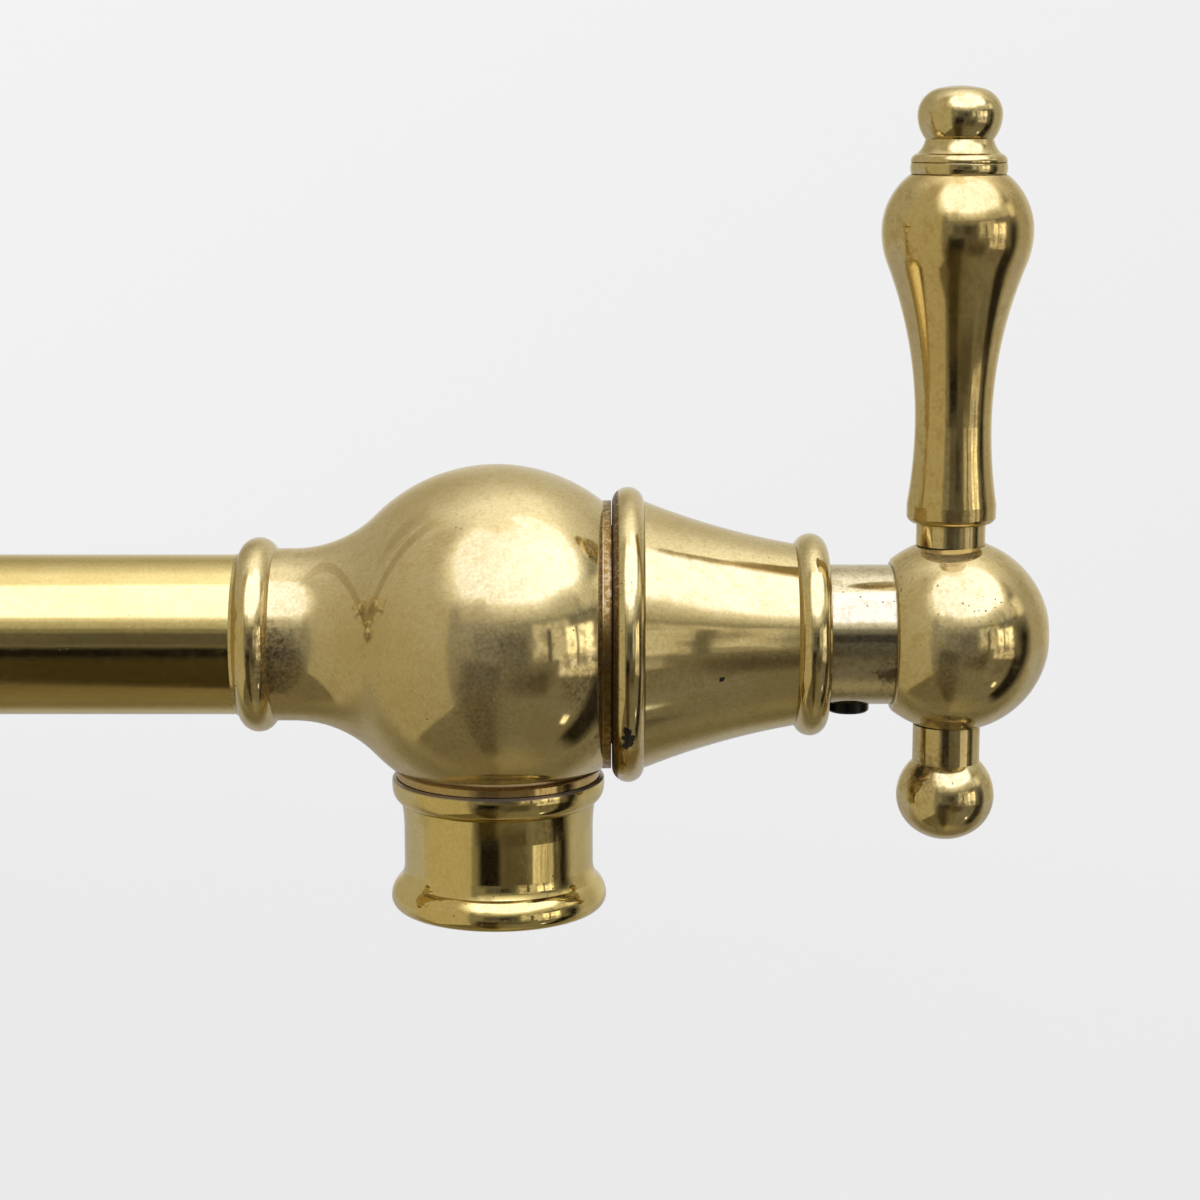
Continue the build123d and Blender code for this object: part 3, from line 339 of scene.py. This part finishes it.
def inner_side(start_mm, end_mm, radius_mm):
    """Both valves' sides towards their arms, ending softly between two places along the axes."""
    def mask(graph, place):
        def side(along):
            return graph.product(graph.ramp(along, start_mm, end_mm, 1.0, 0.0),
                                 graph.ramp(along, *HAZE_START_MM))
        return on_valves(graph, place, radius_mm, side)
    return mask


def spots(graph, place, marks, softness):
    """Ragged marks on the spout's valve, fading over a share of their radius."""
    found = []
    for offset, radius in marks:
        local = from_point(graph, place, SPOUT + Vector(offset) * MM)
        ragged = graph.math("MULTIPLY_ADD", graph.noise(place, 1.1, 4.0, 0.7), 2.2, -0.1)
        inside = graph.math("SUBTRACT", graph.product(ragged, radius),
                            graph.vector("LENGTH", local))
        found.append(graph.ramp(inside, -0.05, radius * softness))
    return graph.greatest(found)


def speckled_spots(graph, place, marks, low, high, least):
    """The same marks, broken up into fine specks."""
    specks = graph.ramp(graph.noise(place, 1.3, 5.0, 0.8), low, high, least, 1.0)
    return graph.product(spots(graph, place, marks, 0.9), specks)


def climbing(graph, across, start_mm, width_mm):
    """Height of a curve that climbs from its start, ever flatter, towards the rise of the painted reflection."""
    decay = graph.math("MULTIPLY_ADD", across, -1 / width_mm, start_mm / width_mm)
    return graph.math("MULTIPLY_ADD", graph.math("EXPONENT", decay), -REFLECTION_RISE_MM, REFLECTION_RISE_MM)


def neck_painted_reflection(graph, place):
    """Painted reflection on the front of the spout's neck, drawn as a V-shaped trace: a long curve
    up to the right of its foot, an arch to its left, and a shorter curve above the long one."""
    foot = SPOUT + Vector(REFLECTION_FOOT_MM) * MM
    across, depth, height = graph.axes(from_point(graph, place, foot))
    top, top_height = ARCH_TOP_MM
    bow = graph.math("POWER", graph.math("SUBTRACT", across, top), 2.0)
    arch = graph.math("MULTIPLY_ADD", bow, -ARCH_BEND, top_height)
    on_right = graph.math("GREATER_THAN", across, 0.0)
    line = graph.math("ADD", graph.product(climbing(graph, across, *LONG_CURVE_MM), on_right),
                      graph.product(arch, graph.math("SUBTRACT", 1.0, on_right)))
    near_foot = graph.math("EXPONENT", graph.product(graph.math("ABSOLUTE", across), -FOOT_TAPER))
    width = graph.math("MULTIPLY_ADD", near_foot, FOOT_WIDTH_MM, REFLECTION_WIDTH_MM)
    inside = graph.math("SUBTRACT", 1.0, graph.math("DIVIDE", graph.gap(height, line), width))
    long_line = graph.product(graph.ramp(inside, 0.0, 0.45), graph.band(across, *LONG_SPAN_MM))

    off = graph.gap(height, climbing(graph, across, *SHORT_CURVE_MM))
    short_line = graph.product(graph.ramp(off, 0.2, 1.3, 0.9, 0.0),
                               graph.band(across, *SHORT_SPAN_MM))
    return graph.product(graph.greatest([long_line, short_line]),
                         graph.ramp(depth, *REFLECTION_DEPTH_MM, 1.0, 0.0))


# ---- what lies on the brass: each takes and gives (colour, roughness, metallic) ----
def overlay(graph, mask, coat, under):
    """Lays a coat over another such three where the mask is 1."""
    colour, rough, metal = under
    coat_colour, coat_roughness, coat_metallic = coat
    colour = graph.mix(mask, colour, coat_colour)
    rough = graph.math("MAXIMUM", rough, graph.product(mask, coat_roughness))
    kept = graph.math("SUBTRACT", 1.0, graph.product(mask, 1.0 - coat_metallic))
    return colour, rough, graph.product(metal, kept)


def seams(graph, place, *under):
    """Brown groove between body and bonnet, with painted shade along its deepest ring, pale residue
    in its upper half, brown stains beside it, and a dull film on the lip where the tube is soldered in."""
    groove = seam_rings(graph, place, SEAM_MM)
    rust = graph.ramp(graph.noise(place, 1.2, 4.0, 0.7), 0.34, 0.58, 0.6, 1.0)
    under = overlay(graph, graph.product(groove, rust), RUST_COAT, under)
    # painted shade along the deepest ring of the groove
    groove_shade = seam_rings(graph, place, SEAM_SHADE_MM)
    under = overlay(graph, graph.product(groove_shade, rust), GROOVE_SHADE_COAT, under)

    upper = graph.ramp(graph.axes(from_point(graph, place, SPOUT))[2], *RESIDUE_MM)
    flakes = graph.ramp(graph.noise(place, 2.6, 4.0, 0.75), 0.56, 0.62)
    under = overlay(graph, graph.product(flakes, groove, upper, 0.8), RESIDUE_COAT, under)

    stain = speckled_spots(graph, place, SEAM_STAIN_MM, 0.50, 0.60, 0.15)
    under = overlay(graph, graph.product(stain, 0.75), SEAM_STAIN_COAT, under)
    film = graph.product(seam_rings(graph, place, TUBE_LIP_MM), 0.75)
    return overlay(graph, film, LIP_COAT, under)


def body_marks(graph, place, *under):
    """The same seams, with a painted reflection (an amber trace) and stains on the neck and an amber foot above
    the collar.
    """
    under = seams(graph, place, *under)
    # painted reflection: the amber V-shaped trace on the neck
    under = overlay(graph, graph.product(neck_painted_reflection(graph, place), 0.45), PAINTED_REFLECTION_COAT, under)
    stain = speckled_spots(graph, place, NECK_STAIN_MM, 0.44, 0.58, 0.1)
    under = overlay(graph, graph.product(stain, 0.85), STAIN_COAT, under)
    foot = graph.greatest([graph.band(graph.axes(from_point(graph, place, centre))[2], *FOOT_MM, 0.8)
                           for centre, _ in VALVES])
    return overlay(graph, graph.product(foot, 0.45), FOOT_COAT, under)


def chipped(graph, place, *under):
    """The same seams, with an amber stain and two small black chips on the spout's bonnet."""
    under = seams(graph, place, *under)
    stain = graph.product(spots(graph, place, BEAD_STAIN_MM, 0.8), 0.6)
    under = overlay(graph, stain, BEAD_COAT, under)
    return overlay(graph, spots(graph, place, CHIPS_MM, 0.15), CHIP_COAT, under)


def stained(marks, strength):
    """Brown stains at marks on a part that is otherwise plain brass."""
    def lay(graph, place, *under):
        stain = graph.product(spots(graph, place, marks, 0.9), strength)
        return overlay(graph, stain, STAIN_COAT, under)
    return lay


def rim_film(graph, place, *under):
    """Dull film along each collar's upper edge."""
    height = graph.axes(place)[2]
    for collar in ("wall_swivel_collar", "elbow_swivel_collar", "outlet_collar"):
        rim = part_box(collar)[1][2] / MM - COLLAR_THREAD_MM
        film = graph.band(height, rim - RIM_BELOW_MM, rim + RIM_ABOVE_MM, 0.2)
        under = overlay(graph, graph.product(film, 0.8), RIM_COAT, under)
    return under


# ---- materials ----
def brass(name, tone, stain, roughness=0.09, haze=0.06, streaks=None, pitting=0.60,
          bloom=0.35, hazier=None, extra=None):
    """Unlacquered brass: mottled tarnish, haze, pits, hairlines, and grime with painted shade in its creases.

    The haze is a share of the surface that is matt. With hazier, a pair of a mask's
    function and a share, there is more of it where the mask is 1. Bloom is how strong
    its freckles are, extra lays coats on it, and streaks are the scales of its brushing.
    """
    material, graph = new_material(name)
    place = place_in_mm(graph)
    patches = graph.noise(place, 0.09, 5.0, 0.6)
    grain = graph.noise(place, 2.2, 4.0, 0.75)
    freckles = graph.noise(place, 0.55, 6.0, 0.72)
    pit = pits(graph, place, per_mm=1.3, radius_mm=0.16, patch=pitting)
    line = graph.greatest([hairlines(graph, place, (12, 35, 20), width=0.004, patch=0.52),
                           hairlines(graph, place, (80, -25, 110), width=0.003, patch=0.56)])
    # grime and painted shade in the creases, found by occlusion
    crease_grime_and_shade = grime_and_shade_in_creases(graph, place)

    colour = graph.mix(graph.ramp(patches, 0.35, 0.75, 0.0, 0.35), tone, stain)
    colour = graph.mix(graph.ramp(grain, 0.40, 0.60, 0.0, 0.32), colour, stain)
    colour = graph.mix(graph.ramp(freckles, 0.48, 0.66, 0.0, bloom), colour, stain)
    colour = graph.mix(graph.product(line, 0.35), colour, stain)
    # creases darkened: grime with painted shade
    colour = graph.mix(crease_grime_and_shade, colour, CREASE_GRIME_AND_SHADE)
    colour = graph.mix(graph.product(pit, 0.75), colour, BROWN)

    height = graph.product(graph.noise(place, 0.22, 2.0), PEEL_MM)
    height = graph.math("SUBTRACT", height, graph.product(pit, PIT_MM))
    height = graph.math("SUBTRACT", height, graph.product(line, SCRATCH_MM))
    rough = graph.math("MULTIPLY_ADD", grain, 0.10, roughness - 0.05)
    if streaks:
        brushed = graph.noise(graph.stretched(place, streaks), 1.0, 3.0, 0.6)
        rough = graph.math("MULTIPLY_ADD", brushed, 0.10, graph.math("SUBTRACT", rough, 0.05))
        height = graph.math("MULTIPLY_ADD", brushed, BRUSHED_MM, height)
    matt = matt_grains(graph, place, patches, haze, hazier)
    rough = graph.math("MAXIMUM", rough, graph.product(matt, HAZE_ROUGHNESS))
    rough = graph.math("MULTIPLY_ADD", crease_grime_and_shade, 0.35, rough, clamp=True)
    metal = graph.math("MULTIPLY_ADD", pit, -0.8, 1.0)
    if extra:
        colour, rough, metal = extra(graph, place, colour, rough, metal)
    principled(graph, colour, metal, rough, height, edge=BRASS_EDGE)
    return material


def black_steel():
    """Blackened steel of the set screws, a little rougher in its creases."""
    material, graph = new_material("black_screw")
    place = place_in_mm(graph)
    crease = crevices(graph, 0.4, 0.5, 1.0)
    grain = graph.noise(place, 3.0, 3.0)
    colour = graph.mix(graph.ramp(grain, 0.55, 0.75), (0.012, 0.012, 0.013), (0.03, 0.028, 0.026))
    rough = graph.math("MULTIPLY_ADD", grain, 0.2, graph.math("MULTIPLY_ADD", crease, 0.1, 0.16))
    principled(graph, colour, 0.6, rough, graph.product(grain, 0.01))
    return material


def plain(name, dark, light, roughness, grain_per_mm, relief_mm, metallic=0.0):
    """A moulded, lapped or rolled surface with fine mottling."""
    material, graph = new_material(name)
    grain = graph.noise(place_in_mm(graph), grain_per_mm, 4.0)
    colour = graph.mix(graph.ramp(grain, 0.3, 0.7), dark, light)
    rough = graph.math("MULTIPLY_ADD", grain, 0.16, roughness - 0.08)
    principled(graph, colour, metallic, rough, graph.product(grain, relief_mm))
    return material


LENGTHWISE = (0.03, 2.4, 2.4)
ROUND_THE_LEVER = (0.2, 0.2, 3.0)

# by the record's slots
finishes = {
    "aged_brass": brass("aged_brass", AGED, AGED_STAIN, bloom=0.5),
    "tube_brass": brass("tube_brass", GOLDEN, GOLDEN_STAIN, roughness=0.06, haze=0.03,
                        streaks=LENGTHWISE, pitting=0.66, bloom=0.2),
    "pale_brass": brass("pale_brass", PALE, PALE_STAIN, haze=0.08, pitting=0.50, bloom=0.6),
    "raw_brass": brass("raw_brass", RAW, GOLDEN_STAIN, roughness=0.16, haze=0.12,
                       pitting=0.70),
    "black_screw": black_steel(),
    "rubber": plain("rubber", (0.012, 0.012, 0.012), (0.028, 0.028, 0.028),
                    roughness=0.55, grain_per_mm=1.5, relief_mm=0.01),
    "ceramic": plain("ceramic", (0.70, 0.68, 0.62), (0.80, 0.79, 0.75),
                     roughness=0.15, grain_per_mm=0.8, relief_mm=0.001),
    "spring_steel": plain("spring_steel", (0.30, 0.30, 0.30), (0.42, 0.42, 0.43),
                          roughness=0.30, grain_per_mm=2.0, relief_mm=0.003, metallic=1.0),
    "bearing_plastic": plain("bearing_plastic", (0.66, 0.65, 0.60), (0.76, 0.75, 0.71),
                             roughness=0.40, grain_per_mm=1.0, relief_mm=0.003),
    "aerator_plastic": plain("aerator_plastic", (0.075, 0.08, 0.085), (0.11, 0.115, 0.12),
                             roughness=0.42, grain_per_mm=1.2, relief_mm=0.004),
}

# by node, or by a node's name without its first word
body_side = inner_side(start_mm=-2, end_mm=9, radius_mm=42)
hub_side = inner_side(start_mm=61, end_mm=67, radius_mm=95)
body_brass = brass("body_brass", AGED, AGED_STAIN, roughness=0.075, haze=0.05,
                   hazier=(body_side, 0.34), extra=body_marks)
collar_brass = brass("collar_brass", GOLDEN, GOLDEN_STAIN, roughness=0.06, haze=0.03,
                     extra=rim_film, bloom=0.25)
special = {
    "spout_body": body_brass,
    "wall_body": body_brass,
    "spout_bonnet": brass("chipped_brass", AGED, AGED_STAIN, extra=chipped),
    "wall_bonnet": brass("bonnet_brass", AGED, AGED_STAIN, extra=seams),
    "lever_grip": brass("grip_brass", GRIP, GRIP_STAIN, roughness=0.10,
                        streaks=ROUND_THE_LEVER, bloom=0.6),
    "hub_ball": brass("hub_brass", AGED, AGED_STAIN, roughness=0.08, haze=0.03, pitting=0.54,
                      bloom=0.5, hazier=(hub_side, 0.28)),
    "spout_handle_sleeve": brass("sleeve_brass", PALE, PALE_STAIN, haze=0.04, pitting=0.48,
                                 bloom=0.7, extra=stained(SLEEVE_STAIN_MM, 0.8)),
    "spout_counter_finial": brass("finial_brass", AGED, AGED_STAIN, haze=0.10, bloom=0.7,
                                  extra=stained(FINIAL_STAIN_MM, 0.5)),
    "wall_swivel_collar": collar_brass,
    "elbow_swivel_collar": collar_brass,
    "outlet_collar": collar_brass,
}


def dress():
    """Gives every CAD node its finish: its own where it has one, or its slot's."""
    slots = {part["node"]: part["material_slot"] for part in frame["record"]["subparts"]}
    for name, node in frame["nodes"].items():
        shared = name.split("_", 1)[1]
        finish = special.get(name) or special.get(shared) or finishes[slots[name]]
        for slot in node.material_slots:
            slot.material = finish


# ---- studio ----
# Soft light by direction: azimuth 0 is in front of the object, + to its right.
# Each flat is (colour, azimuths, elevations, softness), laid over those before it.
SIDE_FLATS = (
    ((0.61, 0.545, 0.365), (-182, -31), (-95, 95), 6.0),     # tan, on the left
    ((0.62, 0.56, 0.40), (-105, -36), (14, 95), 16.0),       # lit towards its top
    ((0.36, 0.34, 0.28), (98, 130), (-95, 95), 16.0),
    ((0.58, 0.58, 0.50), (126, 182), (-95, 95), 12.0),
)
PALE_STRIP = (
    ((0.62, 0.60, 0.49), (-24, 62), (18.5, 27), 5.0),        # just below the broad light
)
SMALL_LIGHTS = (
    ((0.85, 0.80, 0.66), (26, 52), (-8, 16), 4.0),
    ((2.40, 2.25, 1.90), (49, 70), (-6, 11), 3.0),
    ((1.30, 1.22, 1.10), (44, 70), (-18, -5), 4.0),
    ((0.28, 0.26, 0.21), (36, 70), (-44, -24), 5.0),
)
FRONT_FLATS = (
    ((0.12, 0.11, 0.08), (35.5, 38.5), (-9, 12), 1.5),       # narrow strips between the lights
    ((0.16, 0.14, 0.10), (56, 58), (-20, 11), 1.5),
    ((0.20, 0.20, 0.19), (54, 80), (15, 21), 4.0),
    ((0.80, 0.77, 0.66), (64, 86), (19, 32), 6.0),
    ((1.30, 1.24, 1.05), (84, 124), (17, 31), 7.0),
    ((0.100, 0.098, 0.085), (76, 99), (-8, 12), 8.0),
    ((0.012, 0.009, 0.006), (71, 101), (-58, -18), 8.0),
    ((0.012, 0.009, 0.006), (82, 110), (-22, 4), 8.0),
    ((0.060, 0.045, 0.018), (-26, 0), (-76, -20), 13.0),     # foot of the dark flag
    ((0.100, 0.085, 0.055), (6, 38), (-30, -13), 12.0),
    ((0.006, 0.005, 0.004), (-22, 4), (-24, -7), 10.0),      # upright dark flag in front
    ((0.12, 0.115, 0.10), (-14, 5), (-5, 12), 5.0),
    ((0.12, 0.115, 0.10), (4, 22), (-12, 12), 6.0),
    ((0.045, 0.040, 0.030), (3, 14), (-3, 9), 5.0),
    ((1.15, 1.05, 0.85), (50, 71), (-18, -12), 4.0),
    ((2.60, 2.50, 2.20), (58, 63), (-48, -43), 2.5),         # a small light low down
)

# the colours of the rest; the pairs go from left to right
SURROUND = (0.29, 0.275, 0.215)
FLOOR_TONES = ((0.190, 0.162, 0.100), (0.255, 0.232, 0.170))
STRAIGHT_DOWN = ((0.27, 0.225, 0.13), (0.42, 0.36, 0.21))
BACK_TONES = ((0.57, 0.54, 0.45), (0.88, 0.87, 0.82))
BACK_ABOVE = (1.50, 1.48, 1.45)
BACK_BELOW = (0.26, 0.23, 0.15)
FINE_LINES = (0.012, 0.009, 0.006)
OVERHEAD = (1.70, 1.70, 1.68)
LIGHT = (2.00, 1.97, 1.92)
LIGHT_CORE = (2.25, 2.38, 3.05)

# the floor's edge climbs from FLOOR_FAR on the left, by FLOOR_CLIMB up to azimuth 0
FLOOR_FAR = -57.0
FLOOR_CLIMB = 47.0
FLOOR_TURN = 35.0              # azimuth over which the climb grows e-fold
FLOOR_STOP = 5.0               # azimuth from which the edge is level

# the broad light's sides at elevation LIGHT_LEVEL, and how they spread per degree above it
LIGHT_LEVEL = 36.0
LIGHT_LEFT = -35.0
LIGHT_LEFT_SPREAD = -0.9
LIGHT_RIGHT = 80.0
LIGHT_RIGHT_SPREAD = 1.3
LIGHT_DENT = 2.5               # how much its lower edge is lifted left of the middle


class Sky:
    """The world's graph, with the direction it is seen in as vector, axes and angles."""

    def __init__(self, graph):
        self.graph = graph
        self.direction = graph.node("ShaderNodeTexCoord").outputs["Generated"]
        self.right, self.back, self.up = graph.axes(self.direction)
        azimuth = graph.math("ARCTAN2", self.right, graph.product(self.back, -1.0))
        self.azimuth = graph.math("DEGREES", azimuth)
        self.elevation = graph.math("DEGREES", graph.math("ARCSINE", self.up))
        # elevation above a line that is 14 degrees higher on the left
        self.lifted = graph.math("SUBTRACT", self.elevation,
                                 graph.ramp(self.right, -0.3, 0.3, 14.0, 0.0))

    def window(self, azimuths, elevations, soft):
        """1 inside a range of azimuths and a range of elevations."""
        return self.graph.product(self.graph.band(self.azimuth, *azimuths, soft),
                                  self.graph.band(self.elevation, *elevations, soft))

    def lay(self, flats, under, patchy=None):
        for colour, azimuths, elevations, soft in flats:
            mask = self.window(azimuths, elevations, soft)
            if patchy is not None:
                mask = self.graph.product(mask, patchy)
            under = self.graph.mix(mask, under, colour)
        return under


def front_floor(sky, under):
    """Dark floor in front, whose edge drops towards the left, and a patch straight below."""
    graph = sky.graph
    climb = graph.product(graph.math("MINIMUM", sky.azimuth, FLOOR_STOP), 1 / FLOOR_TURN)
    edge = graph.math("MULTIPLY_ADD", graph.math("EXPONENT", climb), FLOOR_CLIMB, FLOOR_FAR)
    mask = graph.product(graph.ramp(graph.math("SUBTRACT", edge, sky.elevation), -1.2, 1.2),
                         graph.ramp(sky.back, -0.1, 0.3, 1.0, 0.0))
    under = graph.mix(mask, under, graph.mix(graph.ramp(sky.azimuth, -6, 26), *FLOOR_TONES))
    nadir = graph.ramp(sky.elevation, -84, -60, 1.0, 0.0)
    return graph.mix(nadir, under, graph.mix(graph.ramp(sky.azimuth, -25, 15), *STRAIGHT_DOWN))


def flats_in_front(sky, under):
    """Small lights, broken up in blotches, dark and pale flats, and fine dark lines."""
    graph = sky.graph
    blotches = graph.ramp(graph.noise(sky.direction, 9.0, 3.0, 0.6), 0.40, 0.56)
    under = sky.lay(SMALL_LIGHTS, under, graph.math("MULTIPLY_ADD", blotches, 0.7, 0.3))
    under = sky.lay(FRONT_FLATS, under)
    lines = graph.math("COMPARE", graph.noise(sky.direction, 13.0, 4.0, 0.65), 0.5, 0.022)
    region = graph.product(graph.band(sky.azimuth, 46, 88, 10), graph.band(sky.elevation, -34, -6, 8))
    return graph.mix(graph.product(lines, region, 0.85), under, FINE_LINES)


def behind(sky, under):
    """The side behind the object: brighter to the right and upwards, dark low down."""
    graph = sky.graph
    across = graph.math("MULTIPLY_ADD", sky.right, 0.25, sky.back)
    backdrop = graph.mix(graph.ramp(across, 0.70, 1.0), *BACK_TONES)
    backdrop = graph.mix(graph.ramp(sky.lifted, 20, 75), backdrop, BACK_ABOVE)
    low = graph.ramp(sky.elevation, -60, -8, 1.0, 0.0)
    backdrop = graph.mix(low, backdrop, BACK_BELOW)
    return graph.mix(graph.ramp(sky.back, -0.05, 0.25), under, backdrop)


def broad_light(sky, under):
    """The broad light, wider at its top, where it meets the pale flat overhead."""
    graph = sky.graph
    under = sky.lay(PALE_STRIP, under)
    under = graph.mix(graph.ramp(sky.lifted, 48, 72), under, OVERHEAD)
    lift = graph.math("SUBTRACT", sky.elevation, LIGHT_LEVEL)
    left = graph.math("MULTIPLY_ADD", lift, LIGHT_LEFT_SPREAD, LIGHT_LEFT)
    right = graph.math("MULTIPLY_ADD", lift, LIGHT_RIGHT_SPREAD, LIGHT_RIGHT)
    low = graph.math("ADD", graph.ramp(sky.azimuth, -9, 6, 24.5, 23.0),
                     graph.ramp(sky.azimuth, 30, 55, 0.0, 4.0))
    low = graph.math("MULTIPLY_ADD", graph.band(sky.azimuth, -17, -7, 5), LIGHT_DENT, low)
    light = graph.product(
        graph.ramp(graph.math("SUBTRACT", sky.azimuth, left), -16.0, 16.0),
        graph.ramp(graph.math("SUBTRACT", right, sky.azimuth), -14.0, 14.0),
        graph.ramp(graph.math("SUBTRACT", sky.elevation, low), -5.0, 12.0),
        graph.ramp(sky.elevation, 78, 90, 1.0, 0.0))
    under = graph.mix(light, under, LIGHT)
    return graph.mix(graph.ramp(light, 0.6, 1.0), under, LIGHT_CORE)


def studio_world():
    """A broad light above and in front, tan and pale flats at the sides, a dark
    floor below, and a pale backdrop, which the camera sees all round."""
    world = bpy.data.worlds.new("studio")
    world.use_nodes = True
    bpy.context.scene.world = world
    graph = Graph(world.node_tree)
    sky = Sky(graph)
    colour = sky.lay(SIDE_FLATS, SURROUND)
    for part in (front_floor, flats_in_front, behind, broad_light):
        colour = part(sky, colour)

    # the plain backdrop, for the camera and for what mirrors the middle of the back
    pale = graph.math("MULTIPLY_ADD", sky.up, BACKDROP_UPWARDS, BACKDROP)
    pale = graph.math("MULTIPLY_ADD", sky.right, BACKDROP_RIGHTWARDS, pale)
    seen = graph.node("ShaderNodeCombineColor")
    for socket in seen.inputs[:3]:
        graph.put(socket, pale)
    rays = graph.node("ShaderNodeLightPath").outputs
    shiny = graph.math("MAXIMUM", rays["Is Glossy Ray"], rays["Is Transmission Ray"])
    mirrored = graph.product(shiny, graph.ramp(sky.back, 0.93, 0.98))
    factor = graph.math("MAXIMUM", rays["Is Camera Ray"], mirrored)

    background = graph.node("ShaderNodeBackground")
    graph.put(background.inputs["Color"], graph.mix(factor, colour, seen.outputs[0]))
    strength = graph.math("MULTIPLY_ADD", rays["Is Diffuse Ray"], DIFFUSE_SHARE - 1.0, 1.0)
    graph.put(background.inputs["Strength"], strength)
    output = graph.node("ShaderNodeOutputWorld")
    graph.put(output.inputs["Surface"], background.outputs[0])


def mixed_shader(graph, factor, first, second):
    node = graph.node("ShaderNodeMixShader")
    graph.put(node.inputs[0], factor)
    graph.put(node.inputs[1], first.outputs[0])
    graph.put(node.inputs[2], second.outputs[0])
    return node


def floor_material():
    """Pale floor that fades out at its edges, with most of what is seen free of shading."""
    material, graph = new_material("pale_floor")
    here = graph.node("ShaderNodeTexCoord").outputs["Object"]
    depth = graph.axes(here)[1]
    near, far = (share * FLOOR_REACH for share in FLOOR_EDGE)
    cover = graph.product(graph.ramp(depth, FLOOR_FRONT, FLOOR_FRONT + FLOOR_FRONT_FADE),
                          graph.ramp(graph.vector("LENGTH", here), near, far, 1.0, 0.0))
    surface = graph.node("ShaderNodeBsdfDiffuse")
    grain = graph.noise(here, FLOOR_GRAIN, 3.0)
    graph.put(surface.inputs["Color"], graph.mix(grain, FLOOR_DARK, FLOOR_LIGHT))
    glow = graph.node("ShaderNodeEmission")
    graph.put(glow.inputs["Color"], FLOOR_GLOW)
    rays = graph.node("ShaderNodeLightPath").outputs
    glowing = graph.product(rays["Is Camera Ray"], GLOW_SHARE)
    seen = mixed_shader(graph, glowing, surface, glow)
    clear = graph.node("ShaderNodeBsdfTransparent")
    output = graph.node("ShaderNodeOutputMaterial")
    graph.put(output.inputs["Surface"], mixed_shader(graph, cover, clear, seen).outputs[0])
    return material


def pale_floor():
    """Wide level floor below the object."""
    height = SPOUT.z - FLOOR_DROP
    corners = [
        (-FLOOR_REACH, FLOOR_FRONT, height),
        (FLOOR_REACH, FLOOR_FRONT, height),
        (FLOOR_REACH, FLOOR_REACH, height),
        (-FLOOR_REACH, FLOOR_REACH, height),
    ]
    mesh = bpy.data.meshes.new("floor")
    mesh.from_pydata(corners, [], [(0, 1, 2, 3)])
    mesh.materials.append(floor_material())
    floor = bpy.data.objects.new("floor", mesh)
    bpy.context.scene.collection.objects.link(floor)


def camera():
    lens = bpy.data.cameras.new("camera")
    lens.sensor_width = CAMERA_SENSOR_MM
    lens.sensor_fit = "HORIZONTAL"
    lens.lens = CAMERA_LENS_MM
    lens.clip_start = CAMERA_CLIP
    view = bpy.data.objects.new("camera", lens)
    view.location = SPOUT + CAMERA_OFFSET
    view.rotation_euler = (radians(90.0 - CAMERA_PITCH), 0, 0)
    bpy.context.scene.collection.objects.link(view)
    bpy.context.scene.camera = view


dress()
studio_world()
pale_floor()
camera()
bpy.context.scene.view_settings.view_transform = "Standard"
